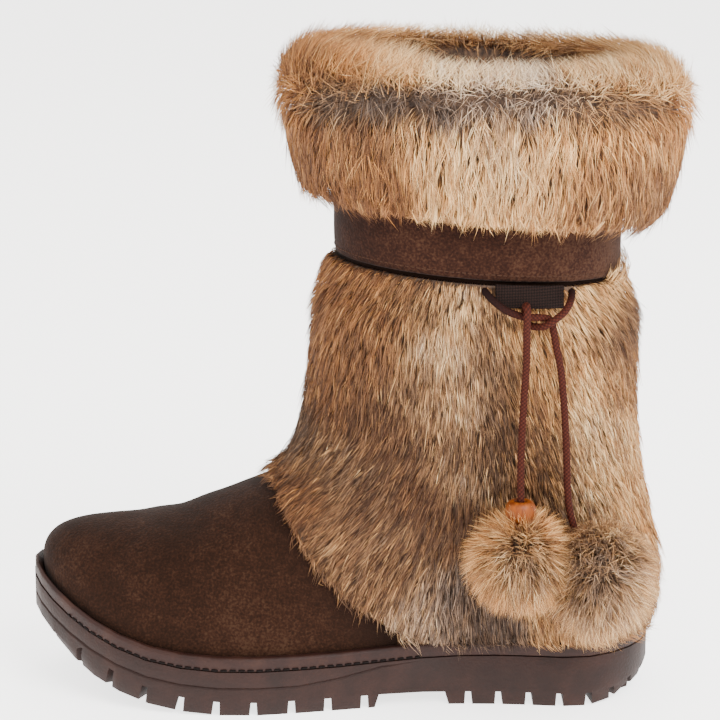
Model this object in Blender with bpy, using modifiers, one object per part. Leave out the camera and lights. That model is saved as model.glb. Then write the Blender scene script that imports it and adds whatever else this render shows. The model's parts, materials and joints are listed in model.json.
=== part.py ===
"""A fur mukluk boot for the left foot, standing on its sole.

A moulded rubber sole with a lugged tread carries a stitched welt. The suede upper is one hollow shell, open at
the collar and underneath. A deep fur sleeve covers its shaft and quarters, a suede band circles the top, and a
fur cuff is turned over the collar. Under the band hang a small tab and two cords with a wooden bead and a fur
pompom each.

The toe points along -X, the outer side of the foot faces -Y, and +Z is up. Sizes are in metres.
"""

import math

import bmesh
import bpy
from mathutils import Matrix, Vector

# Sole
SOLE_LENGTH = 0.291
BALL_WIDTH = 0.104
LUG_DEPTH = 0.0065
WALL_HEIGHT = 0.0145
WALL_LINE_DEPTH = 0.0008
TOE_SPRING = 0.031
HEEL_BEVEL = 0.010
HEEL_LIFT = 0.003
HEEL_LIFT_START = 0.45
HEEL_LIFT_END = 0.75
TOE_SWING = 0.005
TREAD_TUCK = 0.0012
TOE_TUCK = 0.0045
WELT_WIDTH = 0.0050
WELT_HEIGHT = 0.0062
WELT_CROWN = 0.0012

# Tread
LUG_LENGTH = 0.018
LUG_GAP = 0.0030
FOREFOOT_PITCH = 0.0172
HEEL_PITCH = 0.0140
CHANNEL_WIDTH = 0.0035
CHANNEL_DEPTH_SHARE = 0.80
BAR_PITCH = 0.021
BAR_DEPTH_SHARE = 0.75
FOREFOOT_BAR_START = 0.170
FOREFOOT_BARS = 5
HEEL_BAR_START = 0.700
HEEL_BARS = 3
FOREFOOT_END = 0.540
HEEL_START = 0.645

# Upper
UPPER_WALL = 0.0028
TOE_BOX_DEPTH = 0.0275
INSTEP_HEIGHT = 0.1005
COLLAR_HEIGHT = 0.264
SHAFT_DEPTH = 0.1265
SHAFT_WIDTH = 0.098
HEEL_SETBACK = 0.0140
INSOLE_THICKNESS = 0.005

# Fur, band and cuff
FUR_DEPTH = 0.0105
BAND_HEIGHT = 0.034
BAND_THICKNESS = 0.0026
CUFF_DEPTH = 0.0260
CUFF_HEIGHT = 0.065
CUFF_INSIDE = 0.0090
CUFF_REACH_DOWN = 0.018
CUFF_OVERLAP = 0.006
CUFF_SIDE_SAG = 0.003
CUFF_BACK_DROP = 0.005
CUFF_BACK_RISE = 0.004
CUFF_FRONT_SHARE = 0.86
CUFF_BACK_SHARE = 1.08
CUFF_LINING_DROP = 0.003
CUFF_LINING_SHARE = 0.50

# Tab, cords, beads and pompoms
TAB_MIDDLE = 0.0838
TAB_LENGTH = 0.0305
TAB_HEIGHT = 0.0095
TAB_THICKNESS = 0.0012
TAB_DROP = 0.0004
CORD_DIAMETER = 0.0033
CORD_STEPS = 39
BEAD_DIAMETER = 0.0145
BEAD_HEIGHT = 0.0105
BEAD_BORE = 0.0045
POMPOM_DIAMETER = 0.036
POMPOM_HEIGHT = 0.034
MILLIMETRE = 0.001

# Linear base colour and roughness of each kind of piece
FINISHES = {
    "outsole": ((0.085, 0.048, 0.038), 0.60),
    "welt": ((0.110, 0.062, 0.050), 0.50),
    "insole": ((0.450, 0.360, 0.260), 0.90),
    "upper": ((0.042, 0.022, 0.015), 0.95),
    "fur_sleeve": ((0.220, 0.130, 0.070), 0.90),
    "band": ((0.050, 0.027, 0.018), 0.95),
    "fur_cuff": ((0.270, 0.170, 0.100), 0.90),
    "tab": ((0.050, 0.035, 0.030), 0.60),
    "tie_cord": ((0.110, 0.030, 0.028), 0.70),
    "bead": ((0.550, 0.200, 0.050), 0.35),
    "pompom": ((0.300, 0.190, 0.100), 0.90),
}

# The gap between two pieces that touch, and the wider one under the fur, whose hide follows both curves of the
# foot
GAP = 0.0003
FUR_CLEARANCE = 0.0005

# Half widths are shares of BALL_WIDTH from the line through heel and toe, before the ends are rounded.
OUTLINE_COLUMNS = ("station", "lateral", "medial")
OUTLINE = (
    (0.00, 0.435, 0.445),
    (0.05, 0.450, 0.470),
    (0.12, 0.492, 0.484),
    (0.24, 0.545, 0.480),
    (0.36, 0.552, 0.466),
    (0.50, 0.481, 0.390),
    (0.62, 0.415, 0.336),
    (0.75, 0.408, 0.368),
    (0.88, 0.440, 0.428),
    (0.95, 0.424, 0.417),
    (1.00, 0.412, 0.407),
)
TOE_ROUND_LENGTH = 0.068
HEEL_ROUND_LENGTH = 0.043
ROUNDNESS = 2.1

# Points round every ring of the boot
AROUND = 48

# One row for each ring of the upper, from the sole to the collar. Levels run from 0 at the sole over 1 at the
# toe box and 2 at the instep to 3 at the collar. Reach is 1 for the length of the foot and 0 for the depth of
# the shaft, setback is a share of HEEL_SETBACK, widths are shares of the half width, and follow says how far the
# ring keeps the outline and spring of the sole.
RING_COLUMNS = ("front_level", "back_level", "reach", "setback", "lateral", "medial", "follow")
RINGS = (
    (0.000, 0.000, 1.000, 0.00, 1.000, 1.000, 1.00),
    (0.290, 0.150, 1.020, -0.10, 1.012, 1.008, 0.97),
    (0.580, 0.320, 1.018, -0.16, 0.995, 0.985, 0.87),
    (0.830, 0.500, 0.972, -0.13, 0.935, 0.925, 0.72),
    (0.945, 0.665, 0.882, -0.06, 0.865, 0.850, 0.54),
    (0.980, 0.810, 0.755, 0.04, 0.835, 0.810, 0.37),
    (1.060, 0.955, 0.615, 0.18, 0.830, 0.800, 0.22),
    (1.380, 1.270, 0.474, 0.33, 0.835, 0.805, 0.11),
    (1.740, 1.710, 0.336, 0.46, 0.850, 0.820, 0.04),
    (2.000, 2.020, 0.218, 0.60, 0.866, 0.846, 0.00),
    (2.067, 2.098, 0.122, 0.72, 0.881, 0.871, 0.00),
    (2.183, 2.195, 0.070, 0.82, 0.904, 0.894, 0.00),
    (2.317, 2.311, 0.044, 0.89, 0.936, 0.926, 0.00),
    (2.476, 2.445, 0.018, 0.95, 0.974, 0.968, 0.00),
    (2.646, 2.590, 0.000, 1.00, 1.000, 1.000, 0.00),
    (2.829, 2.773, 0.000, 1.00, 1.000, 1.000, 0.00),
    (3.000, 2.944, 0.000, 1.00, 1.000, 1.000, 0.00),
)
BAND_RING = 14
COLLAR_RING = len(RINGS) - 1

# How deep the fur sleeve stands from the welt to the band, as shares of FUR_DEPTH.
FUR_COLUMNS = ("height", "depth")
FUR_PROFILE = (
    (0.00, 0.42),
    (0.06, 0.80),
    (0.16, 0.98),
    (0.35, 1.02),
    (0.60, 1.00),
    (0.88, 1.00),
    (0.95, 0.80),
    (1.00, 0.30),
)

# The seam between vamp and fur in the side view, from above the instep down to the welt. Forward is a share of
# SOLE_LENGTH from the middle of the sole, and height a share of INSTEP_HEIGHT.
SEAM_COLUMNS = ("forward", "height")
SEAM = (
    (-0.200, 1.300),
    (-0.134, 1.030),
    (-0.122, 0.910),
    (-0.090, 0.740),
    (-0.050, 0.600),
    (-0.004, 0.480),
    (0.050, 0.385),
    (0.110, 0.300),
    (0.130, 0.100),
)
SEAM_TAPER = 0.016
SEAM_LIP = 0.22

# The section of the cuff from the lower edge outside, over the crest, to the lower edge inside. Outward lengths
# are shares of CUFF_DEPTH outside the wall and of CUFF_INSIDE within it, heights are shares of CUFF_HEIGHT.
CUFF_COLUMNS = ("outward", "height")
CUFF_OUTSIDE = (
    (0.20, 0.030),
    (0.46, 0.000),
    (0.66, 0.060),
    (0.80, 0.220),
    (0.93, 0.430),
    (1.00, 0.640),
    (0.93, 0.810),
    (0.72, 0.930),
    (0.40, 1.000),
)
CUFF_WITHIN = (
    (0.25, 0.965),
    (0.85, 0.860),
    (1.00, 0.700),
    (0.95, 0.480),
)

# How deep the back of the tab lies within the full depth of the fur, from its top edge to its foot. The fur is
# thinner under the band, so the tab clears it.
TAB_COLUMNS = ("drop", "sunk")
TAB_PROFILE = (
    (0.0, 0.0059),
    (0.5, 0.0037),
    (1.0, 0.0025),
)

# Each cord starts under the band, passes the knot and hangs to its pompom. The points are chosen by hand, in
# millimetres from the middle of the sole on the floor. Cord one comes from the back and hangs in front.
CORD_ONE = (
    (103.0, -46.6, 197.4),
    (102.6, -50.5, 194.6),
    (101.2, -54.5, 191.9),
    (98.8, -57.8, 189.2),
    (95.6, -59.8, 187.0),
    (92.9, -60.4, 185.1),
    (89.9, -59.8, 183.4),
    (86.6, -58.0, 182.8),
    (83.8, -56.4, 183.3),
    (82.5, -56.1, 186.2),
    (81.8, -57.7, 190.2),
    (81.8, -60.2, 192.6),
    (82.1, -63.4, 193.0),
    (82.2, -65.0, 191.0),
    (82.1, -65.0, 186.8),
    (82.2, -63.4, 178.4),
    (82.4, -61.6, 167.5),
    (81.9, -60.4, 155.8),
    (81.4, -60.6, 146.0),
    (80.8, -62.4, 133.7),
    (80.4, -65.4, 125.4),
    (80.2, -68.6, 116.2),
    (80.2, -70.5, 107.6),
    (80.2, -70.5, 96.6),
)
CORD_TWO = (
    (63.2, -55.1, 199.3),
    (65.7, -58.3, 196.6),
    (69.2, -60.2, 193.5),
    (73.6, -60.6, 190.5),
    (78.4, -60.6, 188.5),
    (82.4, -60.4, 187.6),
    (87.3, -59.2, 187.3),
    (91.4, -57.2, 186.4),
    (93.7, -56.3, 184.2),
    (94.4, -56.5, 180.7),
    (95.5, -56.6, 174.6),
    (97.9, -56.2, 163.4),
    (99.5, -55.6, 149.7),
    (100.6, -55.8, 135.9),
    (101.3, -57.2, 122.8),
    (101.5, -59.4, 113.5),
    (101.9, -62.2, 104.9),
    (102.8, -64.6, 99.1),
    (104.4, -65.8, 93.3),
    (106.7, -66.0, 87.7),
    (109.1, -66.0, 82.1),
)


def as_rows(columns, rows):
    """Rows of a table as dictionaries, with a name for each column."""
    return [dict(zip(columns, row)) for row in rows]


def smooth_between(values, places, at):
    """A value on the smooth curve through the values at those places."""
    at = min(max(at, places[0]), places[-1])
    last = len(places) - 2
    i = min(max(sum(place <= at for place in places) - 1, 0), last)
    slopes = []
    for k in (i, i + 1):
        low, high = max(k - 1, 0), min(k + 1, len(places) - 1)
        slopes.append((values[high] - values[low]) / (places[high] - places[low]))
    width = places[i + 1] - places[i]
    s = (at - places[i]) / width
    start = (1 + 2 * s) * (1 - s) ** 2 * values[i] + s * (1 - s) ** 2 * width * slopes[0]
    end = s * s * (3 - 2 * s) * values[i + 1] - s * s * (1 - s) * width * slopes[1]
    return start + end


def column(columns, rows, name):
    return [row[name] for row in as_rows(columns, rows)]


OUTLINE_STATIONS = column(OUTLINE_COLUMNS, OUTLINE, "station")
OUTLINE_WIDTHS = {side: column(OUTLINE_COLUMNS, OUTLINE, side) for side in ("lateral", "medial")}
RING_VALUES = {name: column(RING_COLUMNS, RINGS, name) for name in RING_COLUMNS}
RING_PLACES = list(range(len(RINGS)))
FUR_HEIGHTS = column(FUR_COLUMNS, FUR_PROFILE, "height")
FUR_DEPTHS = column(FUR_COLUMNS, FUR_PROFILE, "depth")


def eased(value, start, end):
    """0 before start, 1 after end and smooth between them."""
    s = min(max((value - start) / (end - start), 0.0), 1.0)
    return s * s * (3 - 2 * s)


# The sole as functions of the station, which is 0 at the toe and 1 at the heel

def station_of(x):
    return min(max(x / SOLE_LENGTH + 0.5, 0.0), 1.0)


def toe_rise(station):
    ball, steepness = 0.37, 2.6
    return TOE_SPRING * max(0.0, 1 - station / ball) ** steepness


def bottom_height(station):
    bevel_start = 0.885
    bevel = max(0.0, (station - bevel_start) / (1 - bevel_start))
    return toe_rise(station) + HEEL_BEVEL * bevel**2


def seat_height(station):
    """The top of the sole, on which the upper and the insole stand."""
    lift = HEEL_LIFT * eased(station, HEEL_LIFT_START, HEEL_LIFT_END)
    return LUG_DEPTH + WALL_HEIGHT + toe_rise(station) + lift


def swing(station):
    """How far the middle of the toe lies towards the inner side of the foot."""
    waist = 0.45
    return TOE_SWING * max(0.0, 1 - station / waist) ** 2


def end_rounding(past_toe, past_heel, inset):
    """The share of its full width that an outline has at these distances from its two ends."""
    share = 1.0
    for past, length in ((past_toe, TOE_ROUND_LENGTH - inset), (past_heel, HEEL_ROUND_LENGTH - inset)):
        if past < length:
            share *= max(0.0, 1 - (1 - past / length) ** ROUNDNESS) ** (1 / ROUNDNESS)
    return share


def half_width(station, side):
    """Half the width of the sole on that side, before the ends are rounded."""
    return BALL_WIDTH * smooth_between(OUTLINE_WIDTHS[side], OUTLINE_STATIONS, station)


def outline_point(angle, inset):
    """A point of the sole's outline, moved inwards, with its station. Angle 0 is the toe, the outer side first."""
    along = (1 - math.cos(angle)) / 2
    side = "lateral" if math.sin(angle) >= 0 else "medial"
    length = SOLE_LENGTH - 2 * inset
    x = (along - 0.5) * length
    station = station_of(x)
    width = end_rounding(along * length, (1 - along) * length, inset) * (half_width(station, side) - inset)
    y = swing(station) + (-width if side == "lateral" else width)
    return x, y, station


def angles(count):
    return [2 * math.pi * i / count for i in range(count)]


# The upper as a function of ring and angle

def ring_values(ring):
    values = {name: smooth_between(RING_VALUES[name], RING_PLACES, ring) for name in RING_COLUMNS}
    inset = WELT_WIDTH + GAP
    foot_length = SOLE_LENGTH - 2 * inset
    values["back_x"] = foot_length / 2 - values["setback"] * HEEL_SETBACK
    depth = SHAFT_DEPTH + values["reach"] * (foot_length - SHAFT_DEPTH)
    values["front_x"] = values["back_x"] - depth
    values["half"] = (SHAFT_WIDTH + values["reach"] * (BALL_WIDTH - SHAFT_WIDTH)) / 2
    for end in ("front", "back"):
        seat = seat_height(station_of(values[end + "_x"])) + GAP
        heights = (seat, seat_height(0.0) + TOE_BOX_DEPTH, INSTEP_HEIGHT, COLLAR_HEIGHT)
        level = values[end + "_level"]
        low = min(max(int(level), 0), len(heights) - 2)
        values[end + "_z"] = heights[low] + (level - low) * (heights[low + 1] - heights[low])
    return values


def upper_point(ring, angle):
    """A point on the outside of the upper."""
    at = ring_values(ring)
    along = (1 - math.cos(angle)) / 2
    side = "lateral" if math.sin(angle) >= 0 else "medial"
    x = at["front_x"] + along * (at["back_x"] - at["front_x"])
    station = station_of(x)
    follow = at["follow"]
    inset = WELT_WIDTH + GAP
    depth = at["back_x"] - at["front_x"]
    rounding = end_rounding(along * depth, (1 - along) * depth, inset)
    sole_width = rounding * (half_width(station, side) - inset)
    width = at[side] * (follow * sole_width + (1 - follow) * at["half"] * abs(math.sin(angle)))
    y = follow * swing(station) + (-width if side == "lateral" else width)
    front_seat = seat_height(station_of(at["front_x"]))
    back_seat = seat_height(station_of(at["back_x"]))
    straight = front_seat + along * (back_seat - front_seat)
    z = at["front_z"] + along * (at["back_z"] - at["front_z"])
    return Vector((x, y, z + follow * (seat_height(station) - straight)))


def upper_normal(ring, angle):
    step, turn = 0.05, 0.02
    low, high = max(ring - step, 0.0), min(ring + step, COLLAR_RING)
    up = upper_point(high, angle) - upper_point(low, angle)
    round_it = upper_point(ring, angle + turn) - upper_point(ring, angle - turn)
    return round_it.cross(up).normalized()


def beside_upper(ring, angle, distance):
    """A point that far outside the upper."""
    return upper_point(ring, angle) + distance * upper_normal(ring, angle)


# Meshes

def new_object(name, mesh, collection, finish=None):
    colour, roughness = FINISHES[finish or name]
    material = bpy.data.materials.new(name)
    material.use_nodes = True
    shader = material.node_tree.nodes["Principled BSDF"]
    shader.inputs["Base Color"].default_value = (*colour, 1.0)
    shader.inputs["Roughness"].default_value = roughness
    shader.inputs["Metallic"].default_value = 0.0
    mesh.materials.append(material)
    piece = bpy.data.objects.new(name, mesh)
    collection.objects.link(piece)
    return piece


def mesh_of(form, name):
    bmesh.ops.recalc_face_normals(form, faces=form.faces)
    mesh = bpy.data.meshes.new(name)
    form.to_mesh(mesh)
    form.free()
    return mesh


def smooth_shaded(mesh, angle=math.radians(35)):
    mesh.shade_smooth()
    mesh.set_sharp_from_angle(angle=angle)
    return mesh


def add_rings(form, rings):
    return [[form.verts.new(point) for point in ring] for ring in rings]


def bridge(form, first, second):
    """Faces between two closed rings with as many points."""
    count = len(first)
    for i in range(count):
        k = (i + 1) % count
        form.faces.new((first[i], first[k], second[k], second[i]))


def close_across(form, ring):
    """Closes a ring whose points lie opposite each other, with strips from side to side."""
    count = len(ring)
    for i in range(count // 2):
        near, far = ring[i], ring[i + 1]
        opposite_far, opposite_near = ring[-(i + 1) % count], ring[-i % count]
        corners = list(dict.fromkeys((near, far, opposite_far, opposite_near)))
        form.faces.new(corners)


def stacked(rings, name):
    """A solid through rings from bottom to top, closed across at both ends."""
    form = bmesh.new()
    made = add_rings(form, rings)
    for first, second in zip(made, made[1:]):
        bridge(form, first, second)
    close_across(form, made[0])
    close_across(form, made[-1])
    return mesh_of(form, name)


def tube_like(sections, name):
    """A closed ring-shaped solid through closed sections."""
    form = bmesh.new()
    made = add_rings(form, sections)
    for first, second in zip(made, made[1:] + made[:1]):
        bridge(form, first, second)
    return mesh_of(form, name)


def open_sheet(rings, name):
    """An open surface through closed rings."""
    form = bmesh.new()
    made = add_rings(form, rings)
    for first, second in zip(made, made[1:]):
        bridge(form, first, second)
    return mesh_of(form, name)


def new_cutter(name, mesh, collection):
    cutter = bpy.data.objects.new(name, mesh)
    cutter.hide_render = True
    cutter.display_type = "WIRE"
    collection.objects.link(cutter)
    return cutter


def cut_away(piece, cutter):
    cut = piece.modifiers.new(cutter.name, "BOOLEAN")
    cut.operation = "DIFFERENCE"
    cut.solver = "EXACT"
    cut.object = cutter


def solidify(piece, thickness, offset):
    wall = piece.modifiers.new("wall", "SOLIDIFY")
    wall.thickness = thickness
    wall.offset = offset
    wall.use_even_offset = True
    wall.use_rim = True


# Sole, tread and welt

def wall_line(station):
    """The height of the moulded line round the sole, as a share of its thickness, which rises at the waist."""
    at_toe, at_waist = 0.62, 0.96
    return at_toe + (at_waist - at_toe) * eased(station, 0.42, 0.62)


def sole_ring(level_at, inset_at):
    ring = []
    for angle in angles(AROUND):
        rough = station_of(outline_point(angle, 0.0)[0])
        x, y, station = outline_point(angle, inset_at(rough))
        low, high = bottom_height(rough), seat_height(rough)
        ring.append((x, y, low + level_at(rough) * (high - low)))
    return ring


def sole_mesh():
    lug_share = LUG_DEPTH / (LUG_DEPTH + WALL_HEIGHT)
    line_half, highest = 0.035, 0.985
    line_fade, line_end = 0.58, 0.62
    toe_end = 0.16

    def tuck(station):
        return TREAD_TUCK + TOE_TUCK * max(0.0, 1 - station / toe_end) ** 2

    def line_depth(station):
        return WALL_LINE_DEPTH * (1 - eased(station, line_fade, line_end))

    rings = [
        sole_ring(lambda s: 0.0, tuck),
        sole_ring(lambda s: 0.5 * lug_share, lambda s: 0.4 * tuck(s)),
        sole_ring(lambda s: lug_share, lambda s: 0.0),
        sole_ring(lambda s: wall_line(s) - line_half, lambda s: 0.0),
        sole_ring(wall_line, line_depth),
        sole_ring(lambda s: min(wall_line(s) + line_half, highest), lambda s: 0.0),
        sole_ring(lambda s: 1.0, lambda s: 0.0),
    ]
    return stacked(rings, "outsole")


def outline_walk(first, last, start, pitch):
    """Places a pitch apart along the outline, from the end at the first angle, as points of x and y."""
    steps = 400
    places, travelled, due = [], 0.0, start
    before = outline_point(first, 0.0)
    for i in range(1, steps + 1):
        here = outline_point(first + (last - first) * i / steps, 0.0)
        travelled += math.dist(before[:2], here[:2])
        if travelled >= due:
            places.append((here[0], here[1]))
            due += pitch
        before = here
    return places


def angle_at(station):
    return math.acos(1 - 2 * station)


def inward_at(x, y):
    """The way a groove runs: straight across the sole, and towards a middle point at the round ends."""
    toe_focus = -SOLE_LENGTH / 2 + TOE_ROUND_LENGTH
    heel_focus = SOLE_LENGTH / 2 - HEEL_ROUND_LENGTH
    focus = min(max(x, toe_focus), heel_focus)
    return Vector((focus - x, swing(station_of(x)) - y)).normalized()


def lug_grooves():
    """Places of the grooves between the lugs, round the forefoot and round the heel, on both sides."""
    found = []
    for side in (1, -1):
        found += outline_walk(0.0, side * angle_at(FOREFOOT_END), FOREFOOT_PITCH / 2, FOREFOOT_PITCH)
        found += outline_walk(side * math.pi, side * angle_at(HEEL_START), HEEL_PITCH / 2, HEEL_PITCH)
    return [(x, y, inward_at(x, y)) for x, y in found]


def tread_frame(x, y, inward):
    """Axes on the underside of the sole: the groove's way, across it, and up out of the floor."""
    station, step = station_of(x), 0.01
    ahead = bottom_height(min(station + step, 1.0)) - bottom_height(max(station - step, 0.0))
    run = (min(station + step, 1.0) - max(station - step, 0.0)) * SOLE_LENGTH
    up = Vector((-ahead / run, 0.0, 1.0)).normalized()
    flat = Vector((inward.x, inward.y, 0.0))
    along = (flat - flat.dot(up) * up).normalized()
    across = up.cross(along)
    frame = Matrix((along, across, up)).transposed().to_4x4()
    frame.translation = Vector((x, y, bottom_height(station)))
    return frame


def groove_box(form, frame, start, length, width, depth, below, flare):
    """A box along the frame's first axis that is wider at its foot."""
    made = bmesh.ops.create_cube(form, size=1.0)["verts"]
    for corner in made:
        foot = corner.co.z < 0
        wide = width * (flare if foot else 1.0)
        corner.co = Vector((
            start + length * (corner.co.x + 0.5),
            wide * corner.co.y,
            -below if foot else depth,
        ))
    bmesh.ops.transform(form, matrix=frame, verts=made)


def tread_cutters(collection):
    """The grooves between lugs, the channel behind them, the bars in the middle and the gap under the arch."""
    outside, below, flare = 0.006, 0.004, 1.35
    grooves = bmesh.new()
    for x, y, inward in lug_grooves():
        frame = tread_frame(x, y, inward)
        groove_box(grooves, frame, -outside, outside + LUG_LENGTH + CHANNEL_WIDTH / 2,
                   LUG_GAP, LUG_DEPTH, below, flare)

    channel = []
    depth = CHANNEL_DEPTH_SHARE * LUG_DEPTH
    for angle in angles(AROUND):
        inner = outline_point(angle, LUG_LENGTH + CHANNEL_WIDTH)
        outer = outline_point(angle, LUG_LENGTH)
        low_in, low_out = bottom_height(inner[2]), bottom_height(outer[2])
        channel.append((
            (inner[0], inner[1], low_in - below),
            (outer[0], outer[1], low_out - below),
            (outer[0], outer[1], low_out + depth),
            (inner[0], inner[1], low_in + depth),
        ))

    bars = bmesh.new()
    mid_inset = LUG_LENGTH + CHANNEL_WIDTH / 2
    stations = [FOREFOOT_BAR_START + i * BAR_PITCH / SOLE_LENGTH for i in range(FOREFOOT_BARS)]
    stations += [HEEL_BAR_START + i * BAR_PITCH / SOLE_LENGTH for i in range(HEEL_BARS)]
    for station in stations:
        angle = angle_at(station)
        near = outline_point(angle, mid_inset)
        far = outline_point(-angle, mid_inset)
        frame = tread_frame(near[0], near[1], Vector((0.0, 1.0)))
        groove_box(bars, frame, 0.0, far[1] - near[1], LUG_GAP, BAR_DEPTH_SHARE * LUG_DEPTH, below, flare)

    arch = bmesh.new()
    start, end = (FOREFOOT_END - 0.5) * SOLE_LENGTH, (HEEL_START - 0.5) * SOLE_LENGTH
    slant = 0.003
    for corner in bmesh.ops.create_cube(arch, size=1.0)["verts"]:
        foot = corner.co.z < 0
        lean = slant if foot else 0.0
        corner.co = Vector((
            start - lean if corner.co.x < 0 else end + lean,
            2 * BALL_WIDTH * corner.co.y,
            -below if foot else LUG_DEPTH,
        ))

    shapes = {
        "cutter_grooves": mesh_of(grooves, "cutter_grooves"),
        "cutter_channel": tube_like(channel, "cutter_channel"),
        "cutter_bars": mesh_of(bars, "cutter_bars"),
        "cutter_arch": mesh_of(arch, "cutter_arch"),
    }
    return [new_cutter(name, mesh, collection) for name, mesh in shapes.items()]


def add_outsole(collection, cutters):
    sole = new_object("outsole", smooth_shaded(sole_mesh()), collection)
    for cutter in cutters:
        cut_away(sole, cutter)
    return sole


def welt_ring(angle):
    """The place between the two lowest rings of the upper that lies level with the top of the welt."""
    low, high = upper_point(0, angle).z, upper_point(1, angle).z
    return WELT_HEIGHT / (high - low)


def above_feather(ring, angle, distance):
    """A point that far outside the straight line between the upper's two lowest rings."""
    return beside_upper(0, angle, distance).lerp(beside_upper(1, angle, distance), ring)


def add_welt(collection):
    """A strip on the sole's edge, whose inner face follows the upper."""
    sections = []
    for angle in angles(AROUND):
        base = outline_point(angle, 0.0)
        lower, upper = beside_upper(0, angle, GAP), above_feather(welt_ring(angle), angle, GAP)
        low = seat_height(base[2]) + GAP
        top = low + WELT_HEIGHT
        outer = Vector(outline_point(angle, GAP)[:2])
        tucked = Vector(outline_point(angle, GAP + WELT_CROWN)[:2])
        sections.append((
            (lower.x, lower.y, seat_height(station_of(lower.x)) + GAP),
            (outer.x, outer.y, low),
            (outer.x, outer.y, top - WELT_CROWN),
            (tucked.x, tucked.y, top),
            tuple(upper),
        ))
    return new_object("welt", smooth_shaded(tube_like(sections, "welt")), collection)


def add_insole(collection):
    """The sock on the sole, which fills the foot of the upper from wall to wall."""
    inside_upper = 3 * GAP
    inset = WELT_WIDTH + GAP + UPPER_WALL + inside_upper
    low, top = [], []
    for angle in angles(AROUND):
        x, y, station = outline_point(angle, inset)
        low.append((x, y, seat_height(station) + GAP))
        top.append((x, y, seat_height(station) + GAP + INSOLE_THICKNESS))
    mesh = smooth_shaded(stacked([low, top], "insole"))
    return new_object("insole", mesh, collection)


# Upper, fur, band and cuff

def add_upper(collection):
    mesh = open_sheet([[upper_point(ring, angle) for angle in angles(AROUND)] for ring in RING_PLACES], "upper")
    upper = new_object("upper", smooth_shaded(mesh), collection)
    solidify(upper, UPPER_WALL, -1.0)
    return upper


def seam_line():
    """The seam as points of x and z."""
    return [
        Vector((row["forward"] * SOLE_LENGTH, row["height"] * INSTEP_HEIGHT))
        for row in as_rows(SEAM_COLUMNS, SEAM)
    ]


def distance_to_seam(place):
    here, nearest = Vector((place.x, place.z)), 1.0
    line = seam_line()
    for a, b in zip(line, line[1:]):
        along = b - a
        share = min(max((here - a).dot(along) / along.length_squared, 0.0), 1.0)
        nearest = min(nearest, (here - a - share * along).length)
    return nearest


def fur_depth(ring, angle):
    """The depth of the fur, which thins out towards the seam, the welt and the band."""
    place = upper_point(ring, angle)
    low, high = upper_point(welt_ring(angle), angle).z, upper_point(BAND_RING, angle).z
    height = (place.z - low) / (high - low)
    taper = SEAM_LIP + (1 - SEAM_LIP) * eased(distance_to_seam(place), 0.0, SEAM_TAPER)
    return FUR_DEPTH * smooth_between(FUR_DEPTHS, FUR_HEIGHTS, height) * taper


def seam_cutter(collection):
    """Everything in front of the seam, across the whole boot."""
    line = seam_line()
    front, wide = -SOLE_LENGTH, 2 * BALL_WIDTH
    outline = [(front, line[0].y), *[tuple(point) for point in line], (front, line[-1].y)]
    form = bmesh.new()
    face = form.faces.new([form.verts.new((x, -wide, z)) for x, z in outline])
    pulled = bmesh.ops.extrude_face_region(form, geom=[face])["geom"]
    moved = [item for item in pulled if isinstance(item, bmesh.types.BMVert)]
    bmesh.ops.translate(form, vec=(0.0, 2 * wide, 0.0), verts=moved)
    return new_cutter("cutter_seam", mesh_of(form, "cutter_seam"), collection)


def add_fur_sleeve(collection, cutter):
    """The fur over shaft and quarters. It is a sleeve round the whole upper, cut away in front of the seam."""
    clear_of_welt, clear_of_band = 0.08, 0.02
    feet = [(welt_ring(angle) + clear_of_welt, angle) for angle in angles(AROUND)]
    inner = [[above_feather(ring, angle, FUR_CLEARANCE) for ring, angle in feet]]
    outer = [[above_feather(ring, angle, FUR_CLEARANCE + fur_depth(ring, angle)) for ring, angle in feet]]
    for ring in [*RING_PLACES[1:BAND_RING], BAND_RING - clear_of_band]:
        for rings, reach in ((inner, 0.0), (outer, 1.0)):
            rings.append([
                beside_upper(ring, angle, FUR_CLEARANCE + reach * fur_depth(ring, angle))
                for angle in angles(AROUND)
            ])
    mesh = smooth_shaded(tube_like(inner + outer[::-1], "fur_sleeve"))
    sleeve = new_object("fur_sleeve", mesh, collection)
    cut_away(sleeve, cutter)
    return sleeve


def band_top_ring():
    low, high = upper_point(BAND_RING, 0.0).z, upper_point(COLLAR_RING, 0.0).z
    return BAND_RING + (COLLAR_RING - BAND_RING) * BAND_HEIGHT / (high - low)


def add_band(collection):
    rings = [BAND_RING, (BAND_RING + band_top_ring()) / 2, band_top_ring()]
    mesh = open_sheet([[beside_upper(ring, angle, GAP) for angle in angles(AROUND)] for ring in rings], "band")
    band = new_object("band", smooth_shaded(mesh), collection)
    solidify(band, BAND_THICKNESS, 1.0)
    return band


def cuff_height(angle, share):
    """How far a level of the cuff lies above its foot. The crest sags at the outer side and rises at the back."""
    back = (1 - math.cos(angle)) / 2
    side = max(0.0, math.sin(angle)) ** 2
    low = -CUFF_BACK_DROP * back**2
    high = CUFF_HEIGHT + CUFF_BACK_RISE * back**2 - CUFF_SIDE_SAG * side
    return low + share * (high - low)


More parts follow.
